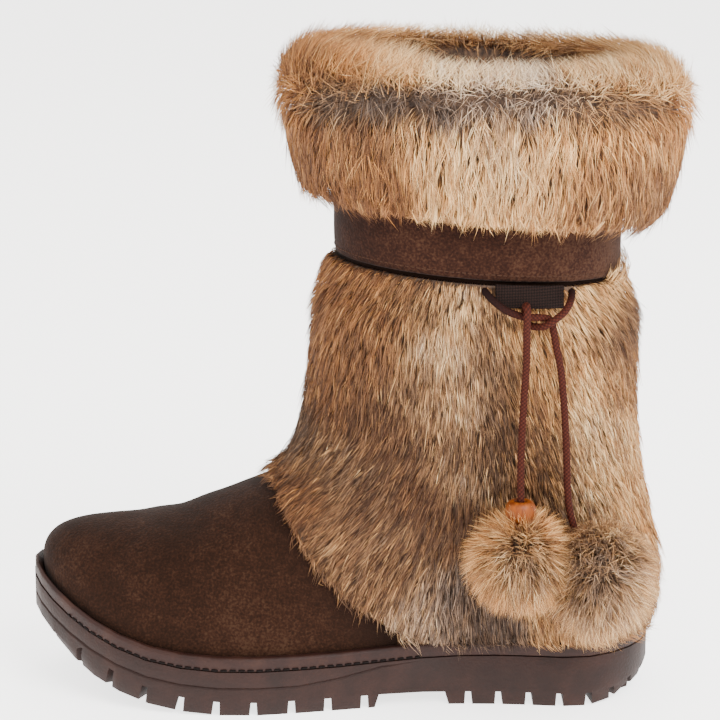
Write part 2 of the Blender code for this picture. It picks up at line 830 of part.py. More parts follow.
def add_cuff(collection):
    sections = []
    collar = upper_point(COLLAR_RING, 0.0).z
    band_top = upper_point(band_top_ring(), 0.0).z
    for angle in angles(AROUND):
        rim = upper_point(COLLAR_RING, angle)
        outward = upper_normal(COLLAR_RING, angle)
        outward = Vector((outward.x, outward.y, 0.0)).normalized()
        back = (1 - math.cos(angle)) / 2
        foot = rim.z - collar + band_top - CUFF_OVERLAP
        stretch = CUFF_FRONT_SHARE + (CUFF_BACK_SHARE - CUFF_FRONT_SHARE) * back**2

        def at(distance, z, rim=rim, outward=outward):
            return (rim.x + distance * outward.x, rim.y + distance * outward.y, z)

        section = []
        for row in as_rows(CUFF_COLUMNS, CUFF_OUTSIDE):
            section.append(at(BAND_THICKNESS + 3 * GAP + CUFF_DEPTH * row["outward"] * stretch,
                              foot + cuff_height(angle, row["height"])))
        for row in as_rows(CUFF_COLUMNS, CUFF_WITHIN):
            section.append(at(-UPPER_WALL - GAP - CUFF_INSIDE * row["outward"],
                              foot + cuff_height(angle, row["height"])))
        inner_foot = rim.z - CUFF_REACH_DOWN
        step = rim.z - collar + band_top + GAP
        section += [
            at(-UPPER_WALL - GAP - CUFF_INSIDE * CUFF_LINING_SHARE, inner_foot - CUFF_LINING_DROP),
            at(-UPPER_WALL - GAP, inner_foot),
            at(-UPPER_WALL - GAP, rim.z + GAP),
            at(GAP, rim.z + GAP),
            at(GAP, step),
            at(BAND_THICKNESS + 2 * GAP, step),
        ]
        sections.append(section)
    mesh = smooth_shaded(tube_like(sections, "fur_cuff"))
    return new_object("fur_cuff", mesh, collection)


# Tab, cords, beads and pompoms

def add_tab(collection):
    """A small flat tab sewn in under the band, standing off the fur and the cords behind it."""
    count = 5
    rows = []
    for place in as_rows(TAB_COLUMNS, TAB_PROFILE):
        row = []
        for i in range(count):
            x = TAB_MIDDLE + TAB_LENGTH * (i / (count - 1) - 0.5)
            at = ring_values(BAND_RING)
            along = (x - at["front_x"]) / (at["back_x"] - at["front_x"])
            edge = upper_point(BAND_RING, angle_at(along))
            y = edge.y - FUR_DEPTH + place["sunk"]
            row.append((x, y, edge.z - TAB_DROP - place["drop"] * TAB_HEIGHT))
        rows.append(row)
    form = bmesh.new()
    made = add_rings(form, rows)
    for first, second in zip(made, made[1:]):
        for i in range(count - 1):
            form.faces.new((first[i], first[i + 1], second[i + 1], second[i]))
    mesh = mesh_of(form, "tab")
    if mesh.polygons[0].normal.y > 0:
        mesh.flip_normals()
    tab = new_object("tab", mesh, collection)
    solidify(tab, TAB_THICKNESS, 1.0)
    return tab


def smooth_route(points):
    """Evenly spaced points of the smooth curve through hand-chosen ones."""
    points = [Vector(point) * MILLIMETRE for point in points]
    lengths = [0.0]
    for a, b in zip(points, points[1:]):
        lengths.append(lengths[-1] + (b - a).length)
    axes = [[point[k] for point in points] for k in range(3)]
    places = [lengths[-1] * i / CORD_STEPS for i in range(CORD_STEPS + 1)]
    return [Vector([smooth_between(axis, lengths, place) for axis in axes]) for place in places]


def add_cord(name, points, collection):
    line = bpy.data.curves.new(name, "CURVE")
    line.dimensions = "3D"
    line.bevel_depth = CORD_DIAMETER / 2
    line.bevel_resolution = 2
    line.use_fill_caps = True
    spline = line.splines.new("POLY")
    route = smooth_route(points)
    spline.points.add(len(route) - 1)
    for point, place in zip(spline.points, route):
        point.co = (*place, 1.0)
    return new_object(name, line, collection, "tie_cord")


def add_bead(name, collection):
    """A turned wooden bead with a bore."""
    outer, bore, half = BEAD_DIAMETER / 2, BEAD_BORE / 2, BEAD_HEIGHT / 2
    steps, widest_turn, fullness = 6, 0.43 * math.pi, 0.6
    profile = [(bore, half)]
    for i in range(steps + 1):
        turn = widest_turn * (1 - 2 * i / steps)
        level = half * math.sin(turn) / math.sin(widest_turn)
        profile.append((bore + (outer - bore) * math.cos(turn) ** fullness, level))
    profile.append((bore, -half))
    form = bmesh.new()
    corners = [form.verts.new((r, 0.0, z)) for r, z in profile]
    for a, b in zip(corners, corners[1:] + corners[:1]):
        form.edges.new((a, b))
    mesh = bpy.data.meshes.new(name)
    form.to_mesh(mesh)
    form.free()
    bead = new_object(name, mesh, collection, "bead")
    turned = bead.modifiers.new("turned", "SCREW")
    turned.steps = turned.render_steps = 16
    turned.use_merge_vertices = True
    turned.merge_threshold = 0.00001
    turned.use_smooth_shade = True
    return bead


def add_pompom(name, collection):
    form = bmesh.new()
    bmesh.ops.create_uvsphere(form, u_segments=12, v_segments=8, radius=0.5)
    size = (POMPOM_DIAMETER, POMPOM_DIAMETER, POMPOM_HEIGHT)
    bmesh.ops.scale(form, vec=size, verts=form.verts)
    mesh = smooth_shaded(mesh_of(form, name))
    return new_object(name, mesh, collection, "pompom")


def add_tie(which, points, collection):
    """A cord with the bead round its end and the pompom beyond it, in line with the cord."""
    add_cord(f"tie_cord_{which}", points, collection)
    before, end = (Vector(point) * MILLIMETRE for point in points[-2:])
    way = (end - before).normalized()
    turned = way.to_track_quat("-Z", "Y").to_euler()
    bead = add_bead(f"bead_{which}", collection)
    bead.location = end - way * BEAD_HEIGHT / 2
    bead.rotation_euler = turned
    pompom = add_pompom(f"pompom_{which}", collection)
    pompom.location = end + way * (GAP + POMPOM_HEIGHT / 2)
    pompom.rotation_euler = turned


def stand_on_floor(collection, left_out):
    """Moves every piece so that the middle of the boot's box, without its ties, stands over the origin."""
    graph = bpy.context.evaluated_depsgraph_get()
    low, high = Vector((math.inf,) * 3), Vector((-math.inf,) * 3)
    for piece in collection.objects:
        if piece.name.startswith(left_out):
            continue
        mesh = piece.evaluated_get(graph).to_mesh()
        for corner in mesh.vertices:
            place = piece.matrix_world @ corner.co
            low = Vector(map(min, low, place))
            high = Vector(map(max, high, place))
    shift = Vector((-(low.x + high.x) / 2, -(low.y + high.y) / 2, -low.z))
    frame = bpy.data.objects.new("boot_frame", None)
    frame.location = shift
    for piece in list(collection.objects):
        piece.parent = frame
    collection.objects.link(frame)
    print("shift to the boot's frame:", [round(value, 5) for value in shift])


def main():
    for old in list(bpy.data.objects):
        bpy.data.objects.remove(old)
    boot = bpy.data.collections.new("mukluk_boot")
    cutter_collection = bpy.data.collections.new("cutters")
    bpy.context.scene.collection.children.link(boot)
    bpy.context.scene.collection.children.link(cutter_collection)
    cutters = tread_cutters(cutter_collection)
    add_outsole(boot, cutters)
    add_welt(boot)
    add_insole(boot)
    add_upper(boot)
    add_fur_sleeve(boot, seam_cutter(cutter_collection))
    add_band(boot)
    add_cuff(boot)
    add_tab(boot)
    add_tie("one", CORD_ONE, boot)
    add_tie("two", CORD_TWO, boot)
    bpy.context.view_layer.update()
    stand_on_floor(boot, ("tie_", "bead_", "pompom_"))


main()
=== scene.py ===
# %% [markdown]
# # A fur mukluk boot
# The boot stands empty on its sole, seen from its outer side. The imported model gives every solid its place. This
# script adds what a solid can't hold: the nap of the suede, the stitches, the braid of the cords and the fur.
# Sizes are in metres, the toe points along -X, the outer side faces -Y and +Z is up.

import json
import math

import bpy
import numpy as np
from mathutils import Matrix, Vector, noise
from mathutils.bvhtree import BVHTree
from mathutils.kdtree import KDTree

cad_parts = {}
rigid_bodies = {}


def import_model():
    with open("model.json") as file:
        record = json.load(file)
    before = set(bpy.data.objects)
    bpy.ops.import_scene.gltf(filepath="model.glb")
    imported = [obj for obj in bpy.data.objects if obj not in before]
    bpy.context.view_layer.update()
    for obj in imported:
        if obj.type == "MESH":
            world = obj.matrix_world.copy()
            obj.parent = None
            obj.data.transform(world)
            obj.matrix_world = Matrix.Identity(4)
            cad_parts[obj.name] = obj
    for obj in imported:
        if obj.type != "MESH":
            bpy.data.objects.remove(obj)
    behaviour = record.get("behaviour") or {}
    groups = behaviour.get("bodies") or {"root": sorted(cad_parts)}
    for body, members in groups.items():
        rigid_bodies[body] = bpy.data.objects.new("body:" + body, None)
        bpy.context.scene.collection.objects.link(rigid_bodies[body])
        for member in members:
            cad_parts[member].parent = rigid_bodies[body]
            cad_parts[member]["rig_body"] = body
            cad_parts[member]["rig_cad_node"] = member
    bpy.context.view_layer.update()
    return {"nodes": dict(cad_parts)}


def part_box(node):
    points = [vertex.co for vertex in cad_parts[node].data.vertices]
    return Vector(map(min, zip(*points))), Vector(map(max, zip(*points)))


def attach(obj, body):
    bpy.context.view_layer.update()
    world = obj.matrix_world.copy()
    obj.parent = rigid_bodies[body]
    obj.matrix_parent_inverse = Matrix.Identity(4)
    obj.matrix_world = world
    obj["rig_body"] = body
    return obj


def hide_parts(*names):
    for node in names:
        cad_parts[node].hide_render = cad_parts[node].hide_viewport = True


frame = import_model()
print("nodes:", sorted(frame["nodes"]))

# %% [markdown]
# The camera stands at the height of a table top and looks slightly down at the outer side, as the photographer
# did. A long lens keeps the boot's upright lines parallel. A lens of 127 mm on a 36 mm sensor sees about 16 degrees.

# %% Camera
CAMERA_PLACE = (0.0030, -1.15, 0.43)
LOOKS_DOWN = math.radians(13.5)
LENS_MM = 127.25

camera_data = bpy.data.cameras.new("camera")
camera_data.sensor_width = 36.0
camera_data.lens = LENS_MM
camera_data.clip_start = 0.05
camera = bpy.data.objects.new("camera", camera_data)
camera.location = CAMERA_PLACE
camera.rotation_euler = (math.pi / 2 - LOOKS_DOWN, 0.0, 0.0)
bpy.context.scene.collection.objects.link(camera)
bpy.context.scene.camera = camera
print("camera at", CAMERA_PLACE)

# %% [markdown]
# A material is a small graph of nodes. One function turns a hex colour to Blender's linear numbers, and one adds
# any node with its settings and links, so that a material reads as a short list.

# %% Colours and nodes
def linear(hex_colour):
    """An sRGB colour such as #7f5539 as linear red, green, blue and alpha."""
    channels = [int(hex_colour[i:i + 2], 16) / 255 for i in (1, 3, 5)]
    return (*[c / 12.92 if c <= 0.04045 else ((c + 0.055) / 1.055) ** 2.4 for c in channels], 1.0)


def add_node(tree, kind, inputs=(), stops=None, **settings):
    """Adds a node. Each input is a value or another node's output, and stops are the places and colours of a ramp."""
    node = tree.nodes.new(kind)
    for name, value in settings.items():
        setattr(node, name, value)
    for socket, value in dict(inputs).items():
        if isinstance(value, bpy.types.NodeSocket):
            tree.links.new(value, node.inputs[socket])
        else:
            node.inputs[socket].default_value = value
    if stops:
        ramp = node.color_ramp
        while len(ramp.elements) < len(stops):
            ramp.elements.new(1.0)
        for element, (place, colour) in zip(ramp.elements, stops):
            element.position = place
            element.color = linear(colour)
    return node


def new_material(name, **values):
    """A material with its node tree and its shader, whose constant inputs are set by name."""
    material = bpy.data.materials.new(name)
    material.use_nodes = True
    shader = material.node_tree.nodes["Principled BSDF"]
    for socket, value in values.items():
        shader.inputs[socket.replace("_", " ")].default_value = value
    return material, material.node_tree, shader


# %% [markdown]
# A finished piece is named, gets its material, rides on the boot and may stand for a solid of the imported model.
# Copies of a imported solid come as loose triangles, so their corners are merged and their triangles joined to
# quads first. Then a Subdivision Surface modifier can round them.

# %% Making pieces
def only(piece):
    """Selects this piece alone and makes it active."""
    bpy.ops.object.select_all(action="DESELECT")
    piece.select_set(True)
    bpy.context.view_layer.objects.active = piece


def merged_copy(node_name, name):
    """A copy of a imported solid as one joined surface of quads."""
    node = frame["nodes"][node_name]
    piece = node.copy()
    piece.data = node.data.copy()
    piece.name = piece.data.name = name
    piece.parent = None
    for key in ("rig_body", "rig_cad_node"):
        del piece[key]
    bpy.context.scene.collection.objects.link(piece)
    only(piece)
    bpy.ops.mesh.customdata_custom_splitnormals_clear()
    bpy.ops.object.mode_set(mode="EDIT")
    bpy.ops.mesh.select_all(action="SELECT")
    bpy.ops.mesh.remove_doubles(threshold=0.00001)
    bpy.ops.mesh.tris_convert_to_quads(face_threshold=1.2, shape_threshold=1.2)
    bpy.ops.object.mode_set(mode="OBJECT")
    return piece


def with_modifier(piece, kind, **settings):
    """Adds a modifier with these settings and applies it."""
    only(piece)
    modifier = piece.modifiers.new(kind.lower(), kind)
    for name, value in settings.items():
        setattr(modifier, name, value)
    bpy.ops.object.modifier_apply(modifier=modifier.name)
    return piece


def finish_piece(piece, material, slot, *stands_for):
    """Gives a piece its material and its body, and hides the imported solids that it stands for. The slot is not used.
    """
    piece.data.materials.clear()
    piece.data.materials.append(material)
    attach(piece, "root")
    if stands_for:
        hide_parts(*stands_for)
    print(f"{piece.name}: {sum(len(p.vertices) - 2 for p in piece.data.polygons)} triangles")
    return piece


def places_of(piece):
    """The corners of a mesh as an array with one row each."""
    places = np.empty(len(piece.data.vertices) * 3)
    piece.data.vertices.foreach_get("co", places)
    return places.reshape(-1, 3)


def normals_of(piece):
    """The smooth normals of a mesh's corners as an array with one row each."""
    normals = np.empty(len(piece.data.vertices) * 3, dtype=np.float32)
    piece.data.vertex_normals.foreach_get("vector", normals)
    return normals.reshape(-1, 3)


def unit(rows):
    """Each row of an array, made one long."""
    return rows / (np.linalg.norm(rows, axis=1)[:, None] + 1e-12)


def move_to(piece, places):
    """Puts the corners of a mesh at these places."""
    piece.data.vertices.foreach_set("co", np.ascontiguousarray(places, dtype=np.float32).ravel())
    piece.data.update()


def shape_of(piece):
    """The surface of a mesh, for finding the nearest place on it or where a ray meets it."""
    return BVHTree.FromPolygons([v.co[:] for v in piece.data.vertices], [p.vertices[:] for p in piece.data.polygons])


# %% [markdown]
# The two cords are braided polyester of 3.3 mm. They come out from under the band, pass each other in a half knot
# and hang free, each to a wooden bead and a pompom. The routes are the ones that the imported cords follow. The
# photo shows each cord from the band to its bead, so that is its whole length.

# %% Routes of the cords
MILLIMETRE = 0.001
CORD_DIAMETER = 0.0033
ROUTE_SHIFT = (-6.14, 0.0, 0.0)
CORD_ONE = (
    (103.0, -46.6, 197.4), (102.6, -50.5, 194.6), (101.2, -54.5, 191.9), (98.8, -57.8, 189.2),
    (95.6, -59.8, 187.0), (92.9, -60.4, 185.1), (89.9, -59.8, 183.4), (86.6, -58.0, 182.8),
    (83.8, -56.4, 183.3), (82.5, -56.1, 186.2), (81.8, -57.7, 190.2), (81.8, -60.2, 192.6),
    (82.1, -63.4, 193.0), (82.2, -65.0, 191.0), (82.1, -65.0, 186.8), (82.2, -63.4, 178.4),
    (82.4, -61.6, 167.5), (81.9, -60.4, 155.8), (81.4, -60.6, 146.0), (80.8, -62.4, 133.7),
    (80.4, -65.4, 125.4), (80.2, -68.6, 116.2), (80.2, -70.5, 107.6), (80.2, -70.5, 96.6),
)
CORD_TWO = (
    (63.2, -55.1, 199.3), (65.7, -58.3, 196.6), (69.2, -60.2, 193.5), (73.6, -60.6, 190.5),
    (78.4, -60.6, 188.5), (82.4, -60.4, 187.6), (87.3, -59.2, 187.3), (91.4, -57.2, 186.4),
    (93.7, -56.3, 184.2), (94.4, -56.5, 180.7), (95.5, -56.6, 174.6), (97.9, -56.2, 163.4),
    (99.5, -55.6, 149.7), (100.6, -55.8, 135.9), (101.3, -57.2, 122.8), (101.5, -59.4, 113.5),
    (101.9, -62.2, 104.9), (102.8, -64.6, 99.1), (104.4, -65.8, 93.3), (106.7, -66.0, 87.7),
    (109.1, -66.0, 82.1),
)


def smooth_route(points, step):
    """Evenly spaced places on the smooth curve through given points, a step apart."""
    points = (np.array(points) + ROUTE_SHIFT) * MILLIMETRE
    lengths = np.concatenate([[0.0], np.cumsum(np.linalg.norm(np.diff(points, axis=0), axis=1))])
    slopes = np.empty_like(points)
    slopes[1:-1] = (points[2:] - points[:-2]) / (lengths[2:] - lengths[:-2])[:, None]
    slopes[0] = (points[1] - points[0]) / (lengths[1] - lengths[0])
    slopes[-1] = (points[-1] - points[-2]) / (lengths[-1] - lengths[-2])
    at = np.linspace(0.0, lengths[-1], int(lengths[-1] / step) + 1)
    i = np.clip(np.searchsorted(lengths, at, side="right") - 1, 0, len(points) - 2)
    width = (lengths[i + 1] - lengths[i])[:, None]
    s = ((at - lengths[i])[:, None]) / width
    start = (1 + 2 * s) * (1 - s) ** 2 * points[i] + s * (1 - s) ** 2 * width * slopes[i]
    return start + s * s * (3 - 2 * s) * points[i + 1] - s * s * (1 - s) * width * slopes[i + 1]


routes = {"one": smooth_route(CORD_ONE, 0.00035), "two": smooth_route(CORD_TWO, 0.00035)}

# %% [markdown]
# A braid is two sets of strands that wind round the cord in opposite ways. Where they cross, the cover stands
# proud, and between them it dips. A tube whose radius rises and falls with both windings shows this as real relief.
# The same numbers are kept as an attribute that paints shade into the colour: nearly black in the dips of the braid
# and where the cord comes out from under the band, in the band's shade. To the eye the cord is matt and red brown.

# %% Braided cords
BRAID_STRANDS = 10
BRAID_PITCH = 0.0090
BRAID_RELIEF = 0.00016
AROUND_CORD = 20


def braided_tube(name, route, radius, band_shade_length):
    """A braided cord along a route, with painted shade over this length where it comes out from under the band."""
    count = len(route)
    along = np.gradient(route, axis=0)
    along /= np.linalg.norm(along, axis=1)[:, None]
    side = np.empty_like(route)
    carried = np.cross(along[0], (0.0, 0.0, 1.0))
    for i in range(count):
        carried = carried - carried @ along[i] * along[i]
        side[i] = carried = carried / np.linalg.norm(carried)
    other = np.cross(along, side)
    turn = 2 * np.pi * np.arange(AROUND_CORD) / AROUND_CORD
    travelled = np.concatenate([[0.0], np.cumsum(np.linalg.norm(np.diff(route, axis=0), axis=1))])
    wind = 2 * np.pi * travelled[:, None] / BRAID_PITCH
    half = BRAID_STRANDS / 2
    relief = 0.5 * (np.cos(half * (turn + wind)) + np.cos(half * (turn - wind)))
    reach = radius + BRAID_RELIEF * (relief - 0.4)
    ends = np.minimum(travelled, travelled[-1] - travelled)
    reach *= np.sqrt(np.clip(ends / 0.0012, 0.25, 1.0))[:, None]
    ring = side[:, None, :] * np.cos(turn)[None, :, None] + other[:, None, :] * np.sin(turn)[None, :, None]
    places = (route[:, None, :] + reach[:, :, None] * ring).reshape(-1, 3)
    faces = []
    for i in range(count - 1):
        for k in range(AROUND_CORD):
            n = (k + 1) % AROUND_CORD
            this, following = i * AROUND_CORD, (i + 1) * AROUND_CORD
            faces.append((this + k, this + n, following + n, following + k))
    faces.append(tuple(reversed(range(AROUND_CORD))))
    faces.append(tuple(range((count - 1) * AROUND_CORD, count * AROUND_CORD)))
    mesh = bpy.data.meshes.new(name)
    mesh.from_pydata(places.tolist(), [], faces)
    mesh.shade_smooth()
    # Painted shade: the colour darkens in the dips of the braid and near the band, where the cord comes out in its
    # shade.
    shade = mesh.attributes.new("braid", "FLOAT", "POINT")
    clear_of_band_shade = np.clip(travelled / band_shade_length, 0.0, 1.0)[:, None]
    shade.data.foreach_set("value", ((0.5 + 0.5 * relief) * clear_of_band_shade**2).astype(np.float32).ravel())
    piece = bpy.data.objects.new(name, mesh)
    bpy.context.scene.collection.objects.link(piece)
    return piece


cord_material, tree, shader = new_material("braided polyester cord", Roughness=0.75, Specular_IOR_Level=0.08)
braid = add_node(tree, "ShaderNodeAttribute", attribute_name="braid")
cord_colour = add_node(tree, "ShaderNodeValToRGB", {0: braid.outputs["Fac"]},
                       stops=[(0.0, "#120605"), (0.5, "#31130c"), (1.0, "#4c2217")])
tree.links.new(cord_colour.outputs[0], shader.inputs["Base Color"])

for which, route in routes.items():
    tube = braided_tube(f"braided_cord_{which}", route, CORD_DIAMETER / 2, {"one": 0.010, "two": 0.026}[which])
    finish_piece(tube, cord_material, "cord", f"tie_cord_{which}")

# %% [markdown]
# The boot was photographed on a pale table in soft daylight. A wide lamp in front of the heel side gives the light
# its direction, a weaker one at the toe side fills the shade, one behind lights the far side, and a pale surround does
# the rest.

# %% Table and light
FLOOR_COLOUR = "#fbfaf9"

bpy.ops.object.select_all(action="DESELECT")
bpy.ops.mesh.primitive_plane_add(size=60.0)
floor = bpy.context.active_object
floor.name = "floor"
floor_material, _, _ = new_material("matt white card", Roughness=0.9, Base_Color=linear(FLOOR_COLOUR),
                                    Emission_Color=linear(FLOOR_COLOUR), Emission_Strength=2.4)
floor.data.materials.append(floor_material)

world = bpy.data.worlds.new("pale surround")
world.use_nodes = True
world.node_tree.nodes["Background"].inputs["Color"].default_value = linear("#fffcf7")
world.node_tree.nodes["Background"].inputs["Strength"].default_value = 1.7
bpy.context.scene.world = world


def add_lamp(name, place, size, watts):
    """A square lamp that faces the middle of the boot."""
    lamp = bpy.data.lights.new(name, "AREA")
    lamp.size = size
    lamp.energy = watts
    holder = bpy.data.objects.new(name, lamp)
    holder.location = place
    holder.rotation_euler = (Vector((0.0, 0.0, 0.12)) - Vector(place)).to_track_quat("-Z", "Y").to_euler()
    bpy.context.scene.collection.objects.link(holder)


add_lamp("window lamp", (0.9, -1.2, 1.4), 1.2, 60.0)
add_lamp("fill lamp", (-0.9, -1.3, 1.2), 1.3, 10.0)
add_lamp("rear lamp", (0.5, 1.2, 1.7), 1.2, 12.0)
print("lamps:", [item.name for item in bpy.data.lights])

# %% [markdown]
# The vamp is brown suede: leather whose flesh side was sanded to a short nap. The nap lies in different ways, so
# suede shows soft lighter and darker patches with no gloss. Three noises draw it: patches of about 30 mm, rubs of
# 6 mm and the nap itself. A real nap is finer than a pixel, so it is drawn at 1.1 mm. A little sheen stands for the
# fibre ends that catch light at the edges. A slope makes one end of a piece lighter than the other; on the band this
# is painted light.

# %% Suede
PATCH_SIZE, RUB_SIZE, NAP_SIZE = 0.030, 0.006, 0.0011


def weighted(tree, *parts):
    """The sum of outputs, each times its weight."""
    total = 0.0
    for output, weight in parts:
        total = add_node(tree, "ShaderNodeMath", {0: output, 1: weight, 2: total}, operation="MULTIPLY_ADD").outputs[0]
    return total


def noise_of(tree, place, size, detail=2.0, stretch=(1.0, 1.0, 1.0)):
    """A noise whose patches have about this size in metres, stretched along the axes."""
    scaled = add_node(tree, "ShaderNodeVectorMath", {0: place, 1: stretch}, operation="DIVIDE").outputs[0]
    settings = {"Vector": scaled, "Scale": 1.0 / size, "Detail": detail}
    return add_node(tree, "ShaderNodeTexNoise", settings).outputs["Fac"]


def add_bump(tree, shader, height, depth, strength=1.0):
    """Makes a surface look as uneven as this height says, with dents of this depth in metres."""
    bump = add_node(tree, "ShaderNodeBump", {"Height": height, "Distance": depth, "Strength": strength})
    tree.links.new(bump.outputs[0], shader.inputs["Normal"])


def suede_material(name, stops, slope, shift):
    """Suede of these colours, that much lighter per metre along each axis, and lighter by the shift all over."""
    material, tree, shader = new_material(name, Roughness=0.92, Specular_IOR_Level=0.05, Sheen_Weight=0.03,
                                          Sheen_Roughness=0.5)
    place = add_node(tree, "ShaderNodeTexCoord").outputs["Object"]
    patches = noise_of(tree, place, PATCH_SIZE)
    rubs = noise_of(tree, place, RUB_SIZE)
    nap = noise_of(tree, place, NAP_SIZE, 3.0)
    # The slope is painted light on the band, lighter towards the heel that the main lamp lights; on the vamp it makes
    # the top darker.
    sloped_tone = add_node(tree, "ShaderNodeVectorMath", {0: place, 1: slope}, operation="DOT_PRODUCT").outputs["Value"]
    mottle = weighted(tree, (patches, 0.24), (rubs, 0.20), (nap, 0.56), (sloped_tone, 1.0), (shift, 1.0))
    colour = add_node(tree, "ShaderNodeValToRGB", {0: mottle}, stops=stops).outputs[0]
    tree.links.new(colour, shader.inputs["Base Color"])
    add_bump(tree, shader, weighted(tree, (nap, 0.7), (rubs, 0.5)), 0.0006)
    return material, tree, shader, place, colour


suede, tree, shader, place, colour = suede_material(
    "brown suede", [(0.38, "#190d07"), (0.47, "#1f110a"), (0.54, "#26150d"), (0.64, "#312016")],
    (0.0, 0.0, -0.8), 0.04)
print("suede:", suede.name)

# %% [markdown]
# The upper is one hollow shell of suede, lined with beige fleece above the instep. The inside is told from the
# outside by its normal, which there points towards the middle of the shaft. The creases are placed where the photo
# has them: a break across the vamp behind the toe, a slanting fold in front of the fur and a flat one low on the
# outer side. Each is a soft trough that both walls follow. Next to the fur the suede is painted darker, a painted
# shadow of the fur, and it turns to the plain brown within 24 mm towards the toe.

# %% Upper
SHAFT_MIDDLE = (0.057, 0.0, 0.0)
LINING_FROM = 0.105
TOWARDS_TOE = (-0.837, 0.0, -0.548)
FUR_EDGE = -0.0323
TROUGHS = (
    # points as x and z, then depth and width, all in mm
    (((-83.0, 92.0), (-80.0, 76.0), (-72.0, 60.0), (-66.0, 48.0)), 0.7, 9.0),
    (((-58.0, 84.0), (-54.0, 74.0), (-47.0, 62.0), (-36.0, 48.0)), 0.9, 8.0),
    (((-118.0, 58.0), (-104.0, 50.0), (-88.0, 43.0)), 0.8, 6.0),
    (((-100.0, 80.0), (-108.0, 70.0), (-112.0, 62.0)), 0.6, 7.0),
)


def trough_depth(x, z):
    """How far the wall is pressed in at each place, in metres."""
    pressed = np.zeros(len(x))
    for points, depth, width in TROUGHS:
        nearest = np.full(len(x), 1e9)
        for (x0, z0), (x1, z1) in zip(points, points[1:]):
            run = np.clip(((x - x0) * (x1 - x0) + (z - z0) * (z1 - z0)) / ((x1 - x0) ** 2 + (z1 - z0) ** 2), 0, 1)
            nearest = np.minimum(nearest, np.hypot(x - x0 - run * (x1 - x0), z - z0 - run * (z1 - z0)))
        pressed += depth * MILLIMETRE * np.exp(-((nearest / width) ** 2) * 2)
    return pressed


upper = with_modifier(merged_copy("upper", "suede_upper"), "SUBSURF", levels=2, render_levels=2)
places = places_of(upper)
to_core = np.column_stack([np.zeros(len(places)), -places[:, 1], 0.045 - places[:, 2]])
to_core /= np.linalg.norm(to_core, axis=1)[:, None] + 1e-9
press = trough_depth(places[:, 0] * 1000, places[:, 2] * 1000)
wander = np.array([noise.noise(Vector(p) * 45.0) for p in places]) * 0.0004
fade = np.clip((places[:, 2] - 0.034) / 0.012, 0, 1) * np.clip((0.05 - places[:, 0]) / 0.03, 0, 1)
move_to(upper, places + to_core * ((press + wander) * fade)[:, None])
upper.data.shade_smooth()

# Where the wall faces the middle of the shaft it is the inside, and above a certain height that is lined.
normal = add_node(tree, "ShaderNodeNewGeometry").outputs["Normal"]
outwards = add_node(tree, "ShaderNodeVectorMath", {0: place, 1: SHAFT_MIDDLE}, operation="SUBTRACT").outputs[0]
level = add_node(tree, "ShaderNodeVectorMath", {0: outwards, 1: (1.0, 1.0, 0.0)}, operation="MULTIPLY").outputs[0]
facing = add_node(tree, "ShaderNodeVectorMath", {0: normal, 1: level}, operation="DOT_PRODUCT").outputs["Value"]
inside = add_node(tree, "ShaderNodeMath", {0: facing, 1: 0.0}, operation="LESS_THAN").outputs[0]
height = add_node(tree, "ShaderNodeSeparateXYZ", {0: place}).outputs["Z"]
above = add_node(tree, "ShaderNodeMath", {0: height, 1: LINING_FROM}, operation="GREATER_THAN").outputs[0]
lined = add_node(tree, "ShaderNodeMath", {0: inside, 1: above}, operation="MULTIPLY").outputs[0]
fleece = add_node(tree, "ShaderNodeValToRGB", {0: noise_of(tree, place, 0.003, 4.0)},
                  stops=[(0.35, "#8d7a66"), (0.65, "#c4b29c")]).outputs[0]
# Painted shadow of the fur: the suede is darkest at the edge of the fur and plain from 24 mm on towards the toe.
forward = add_node(tree, "ShaderNodeVectorMath", {0: place, 1: TOWARDS_TOE}, operation="DOT_PRODUCT").outputs["Value"]
clear_of_fur_shadow = add_node(tree, "ShaderNodeMapRange", {0: forward, 1: FUR_EDGE, 2: FUR_EDGE + 0.024, 3: 0.0, 4: 1.0},
                   interpolation_type="SMOOTHSTEP").outputs[0]
vamp = add_node(tree, "ShaderNodeMix", {0: clear_of_fur_shadow, 6: linear("#180d08"), 7: colour}, data_type="RGBA").outputs[2]
wall_colour = add_node(tree, "ShaderNodeMix", {0: lined, 6: vamp, 7: fleece}, data_type="RGBA").outputs[2]
tree.links.new(wall_colour, shader.inputs["Base Color"])
finish_piece(upper, suede, "suede", "upper")

# %% [markdown]
# Sewing shows as a row of short bars of thread. They could be curves, but hundreds of curves are slow to handle, so
# one small rounded bar is copied along a line, and all the bars of a seam are one mesh.

# %% Many small bars as one mesh
def bar_shape(length, radius):
    """The corners and faces of one rounded bar along X."""
    around = 6
    turns = [k * math.tau / around for k in range(around)]
    rings = [(-0.5, 0.45), (-0.38, 1.0), (0.38, 1.0), (0.5, 0.45)]
    points = [(x * length, reach * radius * math.cos(turn), reach * radius * math.sin(turn))
              for x, reach in rings for turn in turns]
    faces = [(r * around + k, (r + 1) * around + k, (r + 1) * around + (k + 1) % around, r * around + (k + 1) % around)
             for r in range(len(rings) - 1) for k in range(around)]
    faces = [tuple(reversed(face)) for face in faces]
    faces.append(tuple(range(around)))
    faces.append(tuple(reversed(range((len(rings) - 1) * around, len(rings) * around))))
    return np.array(points), faces


